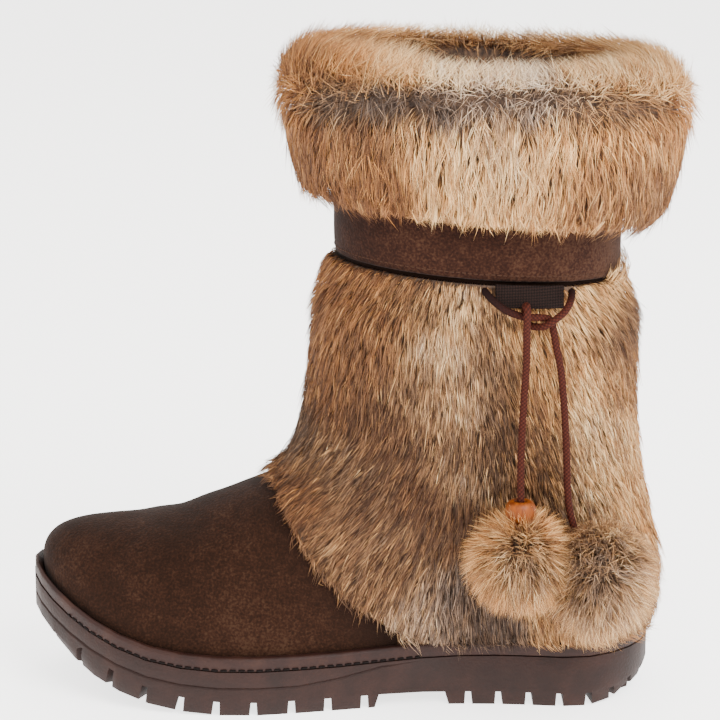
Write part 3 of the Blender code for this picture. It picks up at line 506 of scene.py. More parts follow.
def laid_along(name, places, ups, length, radius, pitch):
    """Bars of this length along a line, a pitch apart, as one mesh."""
    travelled = np.concatenate([[0.0], np.cumsum(np.linalg.norm(np.diff(places, axis=0), axis=1))])
    at = np.arange(pitch / 2, travelled[-1], pitch)
    shape, faces = bar_shape(length, radius)
    corners, all_faces = [], []
    for middle in at:
        here = np.array([np.interp(middle, travelled, places[:, i]) for i in range(3)])
        ahead = np.array([np.interp(middle + 0.0005, travelled, places[:, i]) for i in range(3)])
        behind = np.array([np.interp(middle - 0.0005, travelled, places[:, i]) for i in range(3)])
        run = (ahead - behind) / np.linalg.norm(ahead - behind)
        up = np.array([np.interp(middle, travelled, ups[:, i]) for i in range(3)])
        across = np.cross(run, up)
        across /= np.linalg.norm(across)
        up = np.cross(across, run)
        all_faces += [tuple(v + len(corners) * len(shape) for v in face) for face in faces]
        corners.append(here + shape @ np.array([run, across, up]))
    mesh = bpy.data.meshes.new(name)
    mesh.from_pydata(np.concatenate(corners).tolist(), [], all_faces)
    mesh.shade_smooth()
    piece = bpy.data.objects.new(name, mesh)
    bpy.context.scene.collection.objects.link(piece)
    only(piece)
    bpy.ops.object.mode_set(mode="EDIT")
    bpy.ops.mesh.select_all(action="SELECT")
    bpy.ops.mesh.normals_make_consistent(inside=False)
    bpy.ops.object.mode_set(mode="OBJECT")
    return piece


# %% [markdown]
# The band is a strip of the same suede in a redder brown, sewn over the top of the fur. Its colour is painted lighter
# towards the heel, the side that the main lamp lights: painted light. A row of short stitches runs 2.6 mm above its
# lower edge, which is found by rays that look at the band from all round.

# %% Band
band_suede, *_ = suede_material(
    "red brown suede", [(0.38, "#1d100b"), (0.47, "#25140e"), (0.54, "#2e1b13"), (0.64, "#3c271c")],
    (1.2, 0.0, 0.0), -0.05)
band = with_modifier(merged_copy("band", "suede_band"), "SUBSURF", levels=2, render_levels=2)
band.data.shade_smooth()
finish_piece(band, band_suede, "band_suede", "band")
band_shape = shape_of(band)
BELOW_BAND, LOOKED_FROM = 0.190, 0.15
STITCH_LIFT, STITCH_LENGTH, STITCH_RADIUS, STITCH_PITCH = 0.0026, 0.0018, 0.00032, 0.0026


def band_edge(angle, lift):
    """A place on the band's outer face this far above its lower edge, and the way out from there."""
    out = Vector((math.cos(angle), math.sin(angle), 0.0))

    def met_at(height):
        return band_shape.ray_cast(Vector((SHAFT_MIDDLE[0], 0.0, height)) + out * LOOKED_FROM, -out, LOOKED_FROM)[:2]

    for step in range(240):
        height = BELOW_BAND + 0.00025 * step
        hit, _ = met_at(height)
        if hit is not None and Vector((hit.x - SHAFT_MIDDLE[0], hit.y, 0.0)).dot(out) > 0.03:
            return met_at(height + lift)


rim = [band_edge(angle, STITCH_LIFT) for angle in np.linspace(0, math.tau, 121)]
thread, _, _ = new_material("brown polyester thread", Roughness=0.8, Specular_IOR_Level=0.1,
                            Base_Color=linear("#38241a"))
stitches = laid_along("band_stitches", np.array([hit[:] for hit, _ in rim]), np.array([out[:] for _, out in rim]),
                      STITCH_LENGTH, STITCH_RADIUS, STITCH_PITCH)
finish_piece(stitches, thread, "band_suede")

# %% [markdown]
# Sole and welt are moulded in one plum-brown rubber. To the eye it is satin: darker than the suede, with faint cloudy
# scuffs, a fine grain and soft highlights along the edges, which moulding leaves slightly rounded. The insole is a
# plain grey felt that only shows from above.

# %% Sole, welt and insole
def rubber_material(name, stops, roughness):
    """Moulded rubber of these colours, with cloudy scuffs of 12 mm and a grain of 1.2 mm."""
    material, tree, shader = new_material(name, Roughness=roughness, Specular_IOR_Level=0.2)
    place = add_node(tree, "ShaderNodeTexCoord").outputs["Object"]
    scuffs, grain = noise_of(tree, place, 0.012, 4.0), noise_of(tree, place, 0.0012)
    colour = add_node(tree, "ShaderNodeValToRGB", {0: weighted(tree, (scuffs, 0.75), (grain, 0.25))}, stops=stops)
    tree.links.new(colour.outputs[0], shader.inputs["Base Color"])
    add_bump(tree, shader, grain, 0.00022)
    return material


sole_rubber = rubber_material("plum brown rubber", [(0.35, "#1a0b07"), (0.5, "#200f0a"), (0.65, "#27140e")], 0.58)
# Painted light: the welt is the same rubber a touch lighter than the sole, for its rim that faces up to the lamps.
welt_rubber = rubber_material("plum brown welt rubber", [(0.35, "#1c0c08"), (0.5, "#24110c"), (0.65, "#2d1811")], 0.55)
outsole = with_modifier(merged_copy("outsole", "rubber_outsole"), "BEVEL", width=0.0004, segments=2,
                        limit_method="ANGLE", angle_limit=math.radians(38), use_clamp_overlap=True)
welt = with_modifier(merged_copy("welt", "rubber_welt"), "BEVEL", width=0.0005, segments=2,
                     limit_method="ANGLE", angle_limit=math.radians(38), use_clamp_overlap=True)
for piece in (outsole, welt):
    only(piece)
    bpy.ops.object.shade_smooth_by_angle(angle=math.radians(34))
finish_piece(outsole, sole_rubber, "sole_rubber", "outsole")
finish_piece(welt, welt_rubber, "welt_rubber", "welt")

felt, _, _ = new_material("grey felt", Roughness=0.95, Base_Color=linear("#6f675e"))
insole = merged_copy("insole", "felt_insole")
insole.data.shade_smooth()
finish_piece(insole, felt, "insole_felt", "insole")

# %% [markdown]
# Dark stitches lie in the groove between welt and sole, from the toe back to the fur. Their line is the welt's
# lowest outer edge, taken degree by degree round the forefoot, so they follow the sole wherever it curves.

# %% Stitches in the groove of the sole
LAST_STITCH = 0.034
GROOVE_STITCH, GROOVE_THREAD, GROOVE_PITCH = 0.0030, 0.00055, 0.0041

corners = places_of(welt)
centre = np.array((-0.060, -0.005, 0.0))
spread = (corners - centre) * (1.0, 1.0, 0.0)
outer = (normals_of(welt) * spread).sum(axis=1) > 0.3 * np.linalg.norm(spread, axis=1)
seat = np.array([corners[np.abs(corners[:, 0] - x) < 0.006, 2].min() for x in corners[:, 0]])
low = corners[outer & (corners[:, 2] < seat + 0.0022) & (corners[:, 0] < LAST_STITCH)]
turn = np.degrees(np.arctan2(low[:, 1] - centre[1], low[:, 0] - centre[0])) % 360
line = np.array([low[turn.astype(int) == degree].mean(axis=0) for degree in np.unique(turn.astype(int))])
out = unit((line - centre) * (1.0, 1.0, 0.0))
dark_thread, _, _ = new_material("dark waxed thread", Roughness=0.8, Specular_IOR_Level=0.1,
                                 Base_Color=linear("#0d0706"))
sole_stitches = laid_along("sole_stitches", line + out * 0.0002 + (0.0, 0.0, 0.0003), out, GROOVE_STITCH,
                           GROOVE_THREAD, GROOVE_PITCH)
finish_piece(sole_stitches, dark_thread, "welt_rubber")

# %% [markdown]
# The tab is a short woven ribbon, bare and nearly black, sewn in under the band. Threads are 0.6 mm apart, so warp and
# weft are two crossed waves. The beads are turned from light wood, whose streaks run up and down, and varnished: an
# orange brown with one soft highlight.

# %% Tab and beads
tab_weave, tree, shader = new_material("dark woven ribbon", Roughness=0.9, Specular_IOR_Level=0.1)
place = add_node(tree, "ShaderNodeTexCoord").outputs["Object"]
warp = add_node(tree, "ShaderNodeTexWave", {"Vector": place, "Scale": 260.0, "Distortion": 0.4}, bands_direction="X")
weft = add_node(tree, "ShaderNodeTexWave", {"Vector": place, "Scale": 260.0, "Distortion": 0.4}, bands_direction="Z")
weave = weighted(tree, (warp.outputs["Fac"], 0.5), (weft.outputs["Fac"], 0.5))
woven = add_node(tree, "ShaderNodeValToRGB", {0: weave}, stops=[(0.1, "#0b0706"), (0.9, "#211512")])
tree.links.new(woven.outputs[0], shader.inputs["Base Color"])
add_bump(tree, shader, weave, 0.0003)
tab = with_modifier(merged_copy("tab", "ribbon_tab"), "BEVEL", width=0.0003, segments=2, limit_method="ANGLE",
                    angle_limit=math.radians(35), use_clamp_overlap=True)
only(tab)
bpy.ops.object.shade_smooth_by_angle(angle=math.radians(40))
finish_piece(tab, tab_weave, "tab_leather", "tab")

wood, tree, shader = new_material("varnished light wood", Roughness=0.45, Specular_IOR_Level=0.25)
place = add_node(tree, "ShaderNodeTexCoord").outputs["Object"]
streaks = noise_of(tree, place, 0.0022, 3.0, (1.0, 1.0, 4.0))
grain = add_node(tree, "ShaderNodeValToRGB", {0: streaks}, stops=[(0.35, "#552101"), (0.65, "#7c3c03")])
tree.links.new(grain.outputs[0], shader.inputs["Base Color"])
for which in ("one", "two"):
    bead = with_modifier(merged_copy(f"bead_{which}", f"wooden_bead_{which}"), "SUBSURF", levels=2, render_levels=2)
    bead.data.shade_smooth()
    finish_piece(bead, wood, "bead_wood", f"bead_{which}")

# %% [markdown]
# The fur is rabbit pelt. Its guard hairs are 9 to 22 mm long, dark at the root, banded and pale or black at the tip,
# and they stand in small tufts. Every hair here is a closed spindle with a bend in it, a third of a millimetre
# thick: a real one is far finer, so each stands for several. A dark underfur with short streaks lies under them.
# One map, u for how warm and v for how light, gives a hair its colour, so all hairs share one material.

# %% Fur colours
HAIR_MAP = "OFBake"


def hair_colour(tree, spot):
    """A colour from u, grey at 0, tan at a half and orange at 1, and v, dark at 0 and cream at 1."""
    parts = add_node(tree, "ShaderNodeSeparateXYZ", {0: spot}).outputs
    grey, tan, orange = (add_node(tree, "ShaderNodeValToRGB", {0: parts["Y"]}, stops=stops).outputs[0] for stops in (
        [(0.0, "#2c2523"), (0.25, "#544a44"), (0.5, "#7f6e63"), (0.75, "#bda48e"), (1.0, "#ead8c0")],
        [(0.0, "#33221a"), (0.25, "#604632"), (0.5, "#8b6748"), (0.75, "#c89a66"), (1.0, "#f0cf9b")],
        [(0.0, "#362116"), (0.25, "#67412a"), (0.5, "#96633c"), (0.75, "#d4904c"), (1.0, "#f3c382")]))
    first = add_node(tree, "ShaderNodeMath", {0: parts["X"], 1: 2.0}, operation="MULTIPLY", use_clamp=True).outputs[0]
    second = add_node(tree, "ShaderNodeMath", {0: parts["X"], 1: 2.0, 2: -1.0}, operation="MULTIPLY_ADD",
                      use_clamp=True).outputs[0]
    warm = add_node(tree, "ShaderNodeMix", {0: first, 6: grey, 7: tan}, data_type="RGBA").outputs[2]
    return add_node(tree, "ShaderNodeMix", {0: second, 6: warm, 7: orange}, data_type="RGBA").outputs[2]


hair, tree, shader = new_material("rabbit guard hair", Roughness=0.65, Specular_IOR_Level=0.15)
spot = add_node(tree, "ShaderNodeUVMap", uv_map=HAIR_MAP).outputs[0]
tree.links.new(hair_colour(tree, spot), shader.inputs["Base Color"])

# The underfur's dark brown is partly its own colour and partly painted shade, the shade deep in the pelt between the
# hairs.
underfur, tree, shader = new_material("rabbit underfur", Roughness=0.95)
place = add_node(tree, "ShaderNodeTexCoord").outputs["Object"]
streaks = noise_of(tree, place, 0.0016, 3.0, (1.0, 1.0, 5.0))
under = add_node(tree, "ShaderNodeValToRGB", {0: streaks}, stops=[(0.35, "#2e211a"), (0.65, "#5c4533")])
tree.links.new(under.outputs[0], shader.inputs["Base Color"])
print("fur materials:", hair.name, "and", underfur.name)

# %% [markdown]
# The pelt changes colour from place to place, and the hair leans one way or another. Both are short tables: a place
# as x and z in millimetres, then the values there, and between the places they blend. How warm, how light and which
# way the hair leans were judged. Then each large region was made lighter or darker until it looked as bright
# in the render as in the photo.

# %% Charts of the fur
# The light values in both tint tables are partly the pelt's own colour and partly painted light, matched region by
# region: the heel side, which the main lamp lights, is lighter.
SLEEVE_TINT = (
    # x, z, warm, light
    (-12, 205, 0.95, -0.15), (5, 190, 0.85, -0.15), (25, 195, 0.7, -0.08), (45, 190, 0.45, 0.12),
    (40, 165, 0.4, 0.12), (45, 140, 0.45, 0.07), (30, 150, 0.55, -0.13), (-15, 170, 0.85, -0.2),
    (5, 160, 0.8, -0.2), (-10, 140, 0.8, -0.25), (10, 130, 0.67, -0.32), (-30, 118, 0.37, -0.31),
    (-28, 98, 0.82, -0.23), (-10, 112, 0.52, -0.17), (5, 100, 0.57, -0.32), (-5, 80, 0.62, -0.17),
    (15, 80, 0.55, -0.23), (15, 60, 0.6, -0.2), (30, 100, 0.75, -0.43), (35, 120, 0.6, -0.23),
    (45, 110, 0.4, -0.03), (40, 85, 0.65, -0.34), (30, 45, 0.3, 0.01), (45, 45, 0.2, -0.2),
    (60, 55, 0.2, -0.26), (60, 40, 0.3, -0.36), (62, 180, 0.55, -0.07), (60, 155, 0.5, -0.17),
    (62, 125, 0.5, -0.26), (78, 180, 0.8, 0.12), (85, 150, 0.75, 0.07), (88, 120, 0.65, -0.13),
    (105, 185, 0.7, 0.26), (105, 150, 0.7, 0.21), (108, 125, 0.47, 0.25), (122, 170, 0.6, -0.19),
    (128, 150, 0.7, 0.01), (120, 110, 0.57, 0.25), (132, 95, 0.72, 0.2), (110, 80, 0.47, 0.1),
    (95, 70, 0.4, -0.33), (115, 55, 0.6, 0.01), (100, 45, 0.65, 0.06), (135, 75, 0.77, 0.2),
    (128, 205, 0.6, 0.26),
)
SLEEVE_LEAN = (
    # x, z, degrees from straight down towards the toe
    (-15, 200, 6), (10, 190, 3), (40, 190, 0), (60, 180, -8), (80, 170, -12), (105, 180, -22), (125, 180, -25),
    (-20, 150, 6), (10, 150, 8), (40, 150, 4), (60, 150, -12), (85, 145, -18), (110, 145, -25), (130, 140, -22),
    (-30, 115, 45), (-15, 115, 42), (5, 110, 38), (30, 110, 24), (50, 110, 8), (65, 110, -5), (90, 105, -20),
    (120, 110, -28), (-25, 95, 42), (-10, 90, 45), (10, 85, 42), (30, 80, 28), (50, 80, 8), (70, 75, -5),
    (100, 75, -12), (130, 85, -25), (5, 60, 30), (20, 55, 22), (30, 45, 8), (50, 45, -5), (80, 45, -8),
    (110, 50, -15), (130, 60, -30),
)
CUFF_TINT = (
    # x, z, warm, light
    (-25, 290, 0.94, -0.03), (-25, 260, 0.94, -0.11), (-15, 235, 0.94, -0.16), (0, 298, 0.93, 0.12),
    (20, 300, 0.74, 0.38), (45, 298, 0.39, 0.62), (70, 295, 0.29, 0.67), (100, 296, 0.56, 0.38),
    (125, 292, 0.66, 0.28), (-10, 281, 0.31, -0.21), (10, 283, 0.02, -0.32), (35, 280, 0.06, -0.24),
    (55, 284, 0.06, -0.04), (75, 286, 0.02, -0.09), (95, 283, 0.3, -0.03), (120, 280, 0.56, -0.09),
    (5, 262, 0.85, -0.11), (25, 265, 0.75, 0.14), (40, 258, 0.65, 0.29), (60, 268, 0.45, 0.14),
    (65, 250, 0.55, 0.34), (45, 238, 0.7, 0.29), (85, 258, 0.75, 0.24), (100, 268, 0.86, 0.16),
    (115, 255, 0.9, 0.06), (130, 262, 0.86, 0.11), (125, 240, 0.76, -0.04), (100, 238, 0.81, 0.01),
    (10, 240, 0.94, -0.11), (75, 233, 0.7, 0.24),
)
CUFF_LEAN = (
    # x, z, degrees from straight down towards the toe
    (-28, 285, 25), (-28, 255, 12), (-18, 235, -5), (0, 270, 4), (20, 250, 0), (45, 250, 2), (70, 250, -2),
    (95, 250, 8), (115, 250, -12), (135, 265, -25), (130, 240, -10), (120, 235, 15),
)


def chart(table, places, spread):
    """The values of a table's rows, blended at these places. A row counts for less the further it is away."""
    table = np.array(table, dtype=float)
    away = (places[:, :1] * 1000 - table[:, 0]) ** 2 + (places[:, 2:] * 1000 - table[:, 1]) ** 2
    weight = np.exp(-away / (2 * spread**2)) + 1e-8
    return (weight @ table[:, 2:]) / weight.sum(axis=1)[:, None]


print("rows in the charts:", [len(table) for table in (SLEEVE_TINT, SLEEVE_LEAN, CUFF_TINT, CUFF_LEAN)])


# %% [markdown]
# Hairs are sown evenly over a surface. Each starts on the underfur and bends from its skin into the comb. Then it
# leans towards the tip of the nearest tuft. A fence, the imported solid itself, keeps the tips where the real fur
# ends, and near the cords they stay lower, so that the cords lie on top.

# %% Growing hair
SPINDLE = ((1, 2, 4), (2, 3, 4), (3, 1, 4), (2, 1, 0), (3, 2, 0), (1, 3, 0))


def sown(piece, keep, count, rng):
    """Random places on a mesh with smooth normals, where keep(place, normal) allows them."""
    mesh = piece.data
    mesh.calc_loop_triangles()
    corners = np.empty(len(mesh.loop_triangles) * 3, dtype=np.int32)
    mesh.loop_triangles.foreach_get("vertices", corners)
    corners = corners.reshape(-1, 3)
    at, normals = places_of(piece)[corners], normals_of(piece)[corners]
    flat = np.cross(at[:, 1] - at[:, 0], at[:, 2] - at[:, 0])
    area = np.linalg.norm(flat, axis=1) * keep(at.mean(axis=1), unit(flat))
    chosen = rng.choice(len(area), count, p=area / area.sum())
    mix = rng.dirichlet((1.0, 1.0, 1.0), count)
    return (at[chosen] * mix[:, :, None]).sum(axis=1), unit((normals[chosen] * mix[:, :, None]).sum(axis=1))


def nearest_of(points, wanted):
    """For each wanted place, which of the points is nearest and how far it is."""
    tree = KDTree(len(points))
    for i, point in enumerate(points):
        tree.insert(point, i)
    tree.balance()
    found = [tree.find(place)[1:] for place in wanted]
    return np.array([i for i, _ in found]), np.array([far for _, far in found])


def grow_hair(name, root, normal, comb, length, lift, tint, fence, spare, rng, tuft=5, gather=0.42, width=0.00016,
              swing=8.0, bend=(1.5, 0.35)):
    """Hairs as one mesh of closed spindles. Angles are in degrees, spare is how far tips may pass the fence, and
    tint gives warm and light for the places that the hairs cover."""
    count = len(root)
    leaders = rng.permutation(count)[: count // tuft]
    mine, _ = nearest_of(root[leaders], root)
    of_tuft = {key: rng.normal(size=len(leaders))[mine] for key in ("light", "swing", "length", "warm")}
    slow = np.array([noise.noise(Vector(root[i]) * 90.0) for i in leaders])[mine]
    angle = np.radians(swing * of_tuft["swing"] + 5.0 * rng.normal(size=count))[:, None]
    comb = unit(comb - (comb * normal).sum(axis=1)[:, None] * normal)
    comb = comb * np.cos(angle) + np.cross(normal, comb) * np.sin(angle)
    length = (length * (1 + 0.13 * of_tuft["length"] + 0.12 * rng.normal(size=count)).clip(0.55, 1.5))[:, None]
    rise = np.radians(lift * (1 + 0.2 * rng.normal(size=count)))[:, None]
    first = comb * np.cos(bend[0] * rise) + normal * np.sin(bend[0] * rise)
    second = comb * np.cos(bend[1] * rise) + normal * np.sin(bend[1] * rise)
    middle = root + first * length * 0.45
    tip = middle + second * length * 0.55
    lead = leaders[mine]
    pull = (gather * rng.uniform(0.6, 1.3, count))[:, None]
    tip += (tip[lead] - tip) * pull
    middle += (middle[lead] - middle) * pull * 0.35
    for points, allowed in ((middle, spare * 0.3), (tip, spare)):
        for i in range(count):
            hit, out, _, _ = fence.find_nearest(points[i])
            past = (Vector(points[i]) - hit).dot(out) - allowed[i]
            if past > 0:
                points[i] -= np.array(out) * past
    warm, light = tint(0.4 * middle + 0.6 * tip)
    run = unit(tip - root)
    side = unit(np.cross(run, normal))
    over = np.cross(run, side)
    thick = (width * rng.uniform(0.75, 1.25, count))[:, None]
    corners = [root]
    for turn in (90, 210, 330):
        corners.append(middle + thick * (math.cos(math.radians(turn)) * side + math.sin(math.radians(turn)) * over))
    corners = np.stack(corners + [tip], axis=1).reshape(-1, 3)
    faces = (np.arange(count)[:, None, None] * 5 + np.array(SPINDLE)).reshape(-1, 3)
    mesh = bpy.data.meshes.new(name)
    mesh.from_pydata(corners.tolist(), [], faces.tolist())
    warm = (warm + 0.07 * of_tuft["warm"] + 0.06 * rng.normal(size=count)).clip(0.02, 0.98)
    light = (0.49 + light + 0.10 * of_tuft["light"] + 0.12 * slow + 0.15 * rng.normal(size=count)).clip(0.04, 0.98)
    dark_tip = rng.random(count) < 0.28
    u = np.stack([warm, warm - 0.004, warm, warm + 0.004, warm], axis=1)
    v = np.stack([light - 0.24, light, light, light, light + np.where(dark_tip, -0.26, 0.12)], axis=1)
    spots = np.stack([u, v.clip(0.01, 0.99)], axis=2)[:, np.array(SPINDLE)]
    mesh.uv_layers.new(name=HAIR_MAP).data.foreach_set("uv", spots.astype(np.float32).ravel())
    mesh.shade_smooth()
    piece = bpy.data.objects.new(name, mesh)
    bpy.context.scene.collection.objects.link(piece)
    return piece


# %% [markdown]
# The sleeve is deep fur over the shaft and the heel, combed down and a little back. Its front edge is cut in a slant
# over the instep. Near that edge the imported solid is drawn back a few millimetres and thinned, because there the
# hairs lie flat on the suede. Under the band hairs rise from the rim and hide the skin, a few of them tall at the
# heel.

# %% Fur sleeve
SLEEVE_HAIRS = {"front": 27000, "heel": 24000, "far": 16000}
CORD_CLEARANCE = 0.0075
SLEEVE_RIM = 0.190
DEEPEST_ROOT = 0.0050

lying_on_top = np.concatenate([route[::8] for route in routes.values()] + [places_of(tab)[::3]])


def below_cords(places):
    """1 away from the cords and the tab, falling to 0 beside them."""
    _, far = nearest_of(lying_on_top, places)
    return np.clip((far - 0.0035) / CORD_CLEARANCE, 0.0, 1.0)


def radial(places):
    """The level direction from the middle of the shaft to each place."""
    return unit((places - SHAFT_MIDDLE) * (1.0, 1.0, 0.0))


def sleeve_tint(places):
    """How warm and how light the sleeve's hairs are at these places."""
    warm, light = chart(SLEEVE_TINT, places, 8.0).T
    return warm, light


def drawn_back(place):
    """A place of the sleeve near its front edge, moved up to 5 mm back and nearer to the upper."""
    near_edge = min(max((place @ TOWARDS_TOE + 0.046) / 0.020, 0.0), 1.0)
    if near_edge == 0.0:
        return place
    back = 0.0050 * near_edge * min(max((0.112 - place[2]) / 0.020, 0.0), 1.0)
    hit, out, _, _ = wall.find_nearest(place)
    above = (Vector(place) - hit).dot(out) * (1.0 - 0.4 * near_edge)
    hit, out, _, _ = wall.find_nearest(place - back * np.array(TOWARDS_TOE))
    return np.array(hit + out * above)


wall = shape_of(upper)
fur_sleeve = merged_copy("fur_sleeve", "sleeve_underfur")
move_to(fur_sleeve, np.array([drawn_back(place) for place in places_of(fur_sleeve)]))
sleeve_fence = shape_of(fur_sleeve)
for seed, (part, count) in enumerate(SLEEVE_HAIRS.items()):
    rng = np.random.default_rng(11 + seed)

    def outside(at, out):
        near = at[:, 1] < 0.0
        there = {"front": near & (at[:, 0] < 0.054), "heel": near & (at[:, 0] >= 0.054), "far": ~near}[part]
        return there & ((out * radial(at)).sum(axis=1) > -0.1)

    place, out = sown(fur_sleeve, outside, count, rng)
    at_rim = (place[:, 2] > SLEEVE_RIM) & (out[:, 2] > 0.3)
    out = np.where(at_rim[:, None], unit(radial(place) + (0.0, 0.0, 0.6)), out)
    tall = at_rim * (place[:, 0] > 0.112) * (rng.random(count) < 0.25)
    over_wall = np.array([wall.find_nearest(p)[3] for p in place])
    deep = np.minimum(0.45 * over_wall, DEEPEST_ROOT)[:, None] * (1.0 - 0.8 * tall[:, None])
    lean = np.radians(chart(SLEEVE_LEAN, place, 12.0)[:, 0])
    comb = np.column_stack([-np.sin(lean), np.zeros(count), -np.cos(lean)])
    low = below_cords(place)
    comb += 3.0 * tall[:, None] * (0.7, 0.0, 1.0)
    # How steeply hairs rise, in degrees, how long they are, and how far their tips may pass the fence.
    lift = 10.0 + 9.0 * low + 8.0 * low * np.clip((place[:, 2] - 0.180) / 0.020, 0.0, 1.0)
    length = rng.uniform(np.where(at_rim, 0.0050, 0.0090), np.where(at_rim, 0.0150, 0.0135)) * (1.0 + 0.5 * tall)
    spare = 0.0030 * low + 0.0035 * (rng.random(count) < 0.03) * low + 0.0120 * tall
    piece = grow_hair(f"sleeve_hair_{part}", place - out * deep, out, comb, length, lift, sleeve_tint, sleeve_fence,
                      spare, rng)
    finish_piece(piece, hair, "fur")

# The underfur fills this share of the fur's depth, and more of it beside the band, where it also sinks a little.
UNDERFUR_SHARE, MORE_AT_BAND = 0.55, 0.17
places = places_of(fur_sleeve)
full = [UNDERFUR_SHARE + MORE_AT_BAND * max(1.0 - band_shape.find_nearest(p)[3] / 0.008, 0.0) for p in places]
found = [wall.find_nearest(p)[0] for p in places]
sunk = np.clip((np.array(full) - UNDERFUR_SHARE) / MORE_AT_BAND, 0.0, 1.0)[:, None] * (0.0, 0.0, -0.0015)
move_to(fur_sleeve, sunk + [hit + (Vector(p) - hit) * part for p, hit, part in zip(places, found, full)])
fur_sleeve.data.shade_smooth()
finish_piece(fur_sleeve, underfur, "fur", "fur_sleeve")

# %% [markdown]
# The cuff is a strip of the same pelt, turned over the collar. Below a parting line near its crest the hair falls
# outwards, above it the hair lies over the crest into the boot. The grey underfur shows along the parting.

# %% Fur cuff
CUFF_HAIRS = {"near": 31000, "far": 20000}
CUFF_ROOT = 0.0055
PARTING = 0.289


def cuff_tint(places):
    """How warm and how light the cuff's hairs are. Those that lie inside the opening are in its shade."""
    warm, light = chart(CUFF_TINT, places, 7.0).T
    inner = np.linalg.norm((places - SHAFT_MIDDLE)[:, :2] * (0.85, 1.0), axis=1) < 0.052
    return np.where(inner, 0.7, warm), np.where(inner, -0.02, light)


fur_cuff = merged_copy("fur_cuff", "cuff_underfur")
cuff_fence = shape_of(fur_cuff)
for seed, (part, count) in enumerate(CUFF_HAIRS.items()):
    rng = np.random.default_rng(21 + seed)

    def open_side(at, out):
        there = (at[:, 1] < 0.0) if part == "near" else (at[:, 1] >= 0.0)
        thicker = 1.0 + (1.6 if part == "far" else 0.4) * (at[:, 2] > 0.284)
        return thicker * (there & (((out * radial(at)).sum(axis=1) > -0.1) | (at[:, 2] > 0.262)))

    place, out = sown(fur_cuff, open_side, count, rng)
    # Falls is 1 where the hair falls outwards and 0 where it lies over the crest into the boot.
    away = radial(place)
    facing = (out * away).sum(axis=1)
    waver = np.array([noise.noise(Vector(p) * 60.0) for p in place]) * 0.006
    parting = PARTING - 0.010 * ((place[:, 0] - 0.057) / 0.085) ** 2 + waver
    falls = 1.0 / (1.0 + np.exp(-(parting - place[:, 2]) / 0.0035))
    falls = np.where(facing < 0.0, 0.0, falls)[:, None]
    lean = np.radians(chart(CUFF_LEAN, place, 12.0)[:, 0])
    down = np.column_stack([-np.sin(lean), np.zeros(count), -np.cos(lean)])
    inwards = -away * 0.9 + np.array((0.0, 0.0, -0.35)) * (facing < -0.3)[:, None]
    loose = 0.25 * falls * (1.0 - falls) * 4.0 + 0.30 * (1.0 - falls) * (facing > -0.3)[:, None]
    comb = down * falls + inwards * (1.0 - falls) + loose * rng.normal(size=(count, 3))
    crest = np.clip((place[:, 2] - parting + 0.006) / 0.008, 0.0, 1.0) * (facing > -0.5)
    tall = crest * np.clip((0.036 - place[:, 0]) / 0.012, 0.0, 1.0)
    tall *= np.clip((place[:, 0] + 0.006) / 0.010, 0.0, 1.0) * (part == "near")
    # Hairs stand up at the crest, most of all at its toe end, and lie flatter on the side.
    lift = 26.0 + 36.0 * crest + 16.0 * tall
    spare = 0.0012 + 0.0075 * crest + 0.0060 * tall + 0.0040 * (rng.random(count) < 0.06)
    length = rng.uniform(0.014, 0.022, count) * (1.0 + 0.3 * tall)
    piece = grow_hair(f"cuff_hair_{part}", place - out * CUFF_ROOT, out, comb, length, lift, cuff_tint, cuff_fence,
                      spare, rng, swing=12.0)
    finish_piece(piece, hair, "cuff_fur")

# The underfur lies 5 mm under the fur's surface, and nearer to it on the crest, so that no gaps show between hairs.
normals, places = normals_of(fur_cuff), places_of(fur_cuff)
less = np.where(places[:, 1:2] > 0.0, 0.0044, 0.0028) * normals[:, 2:].clip(0.0, 1.0)
move_to(fur_cuff, places - normals * (0.0050 - less))
fur_cuff.data.shade_smooth()
finish_piece(fur_cuff, underfur, "cuff_fur", "fur_cuff")

# %% [markdown]
# A pompom is a ball of the same hair, tied in its middle to the cord's end. Seen from the front its hairs point
# at the eye and look grey and short, and round the rim they stand out orange.

# %% Pompoms
POMPOM_HAIRS = 8000
POMPOM_SKIN = 0.0125
POMPOM_ROOT = 0.0115
POMPOM_REACH = {"one": 0.0285, "two": 0.0310}

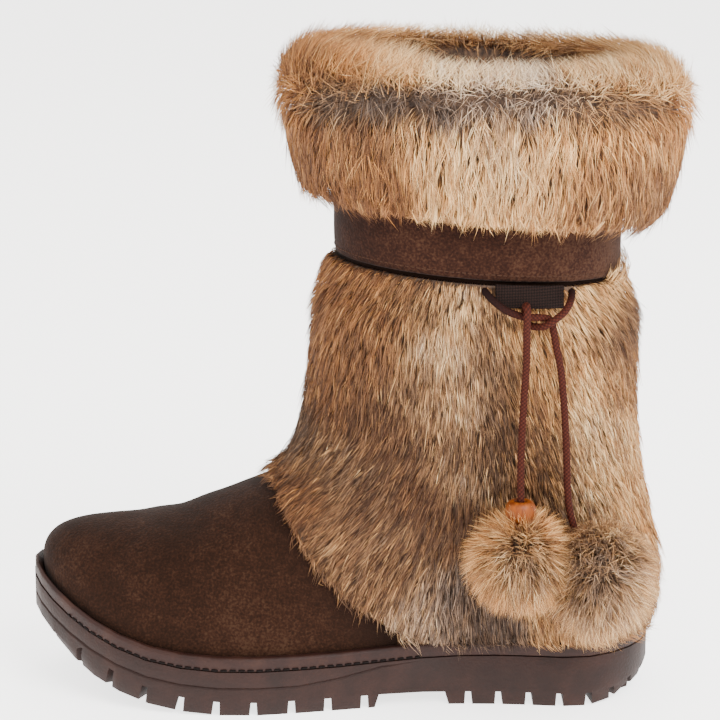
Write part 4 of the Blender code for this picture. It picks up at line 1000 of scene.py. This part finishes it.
for which in ("one", "two"):
    low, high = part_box(f"pompom_{which}")
    middle = (np.array(low) + np.array(high)) / 2
    bpy.ops.object.select_all(action="DESELECT")
    bpy.ops.mesh.primitive_ico_sphere_add(subdivisions=4, radius=POMPOM_SKIN)
    ball = bpy.context.active_object
    ball.name = ball.data.name = f"pompom_underfur_{which}"
    move_to(ball, places_of(ball) + middle)
    ball.data.shade_smooth()
    finish_piece(ball, underfur, "pompom_fur", f"pompom_{which}")
    rng = np.random.default_rng(31 if which == "one" else 32)
    out = unit(rng.normal(size=(POMPOM_HAIRS, 3)))
    comb = unit(np.array((0.0, -0.15, -1.0)) + 0.5 * rng.normal(size=(POMPOM_HAIRS, 3)))
    length = rng.uniform(0.0145, 0.0180, POMPOM_HAIRS) * np.where(out[:, 1] > 0.35, 0.72, 1.0)
    if which == "two":
        length *= 1.0 + 0.45 * (2.0 * out[:, 2]).clip(0.0, 1.0)

    def pompom_tint(places):
        across, depth, height = unit(places - middle).T
        front = (-depth).clip(0.0, 1.0)
        if which == "one":
            return 0.88 - 0.5 * front**2, 0.12 - 0.12 * front**3
        # Painted shade: pompom two is darker on its side and top towards pompom one, where the two balls meet.
        return 0.62 - 0.3 * front, 0.08 - 0.12 * front**2 + 0.12 * across - 0.07 * height

    shell = BVHTree.FromPolygons([tuple(middle + p * POMPOM_REACH[which]) for p in unit(places_of(ball) - middle)],
                                 [tuple(p.vertices) for p in ball.data.polygons])
    root = middle + out * POMPOM_ROOT
    if which == "two":
        root += np.array((0.0, -0.0035, 0.0070)) * (1.5 * out[:, 2:]).clip(0.0, 1.0)
    piece = grow_hair(f"pompom_hair_{which}", root, out, comb, length, np.full(POMPOM_HAIRS, 68.0),
                      pompom_tint, shell, np.zeros(POMPOM_HAIRS), rng, tuft=8, gather=0.35, swing=20.0,
                      bend=(1.3, 0.85))
    finish_piece(piece, hair, "pompom_fur")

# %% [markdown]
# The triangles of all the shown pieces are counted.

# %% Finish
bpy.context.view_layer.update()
shown = [piece for piece in bpy.data.objects if piece.type == "MESH" and not piece.hide_render]
print("triangles in all:", sum(len(p.vertices) - 2 for piece in shown for p in piece.data.polygons))
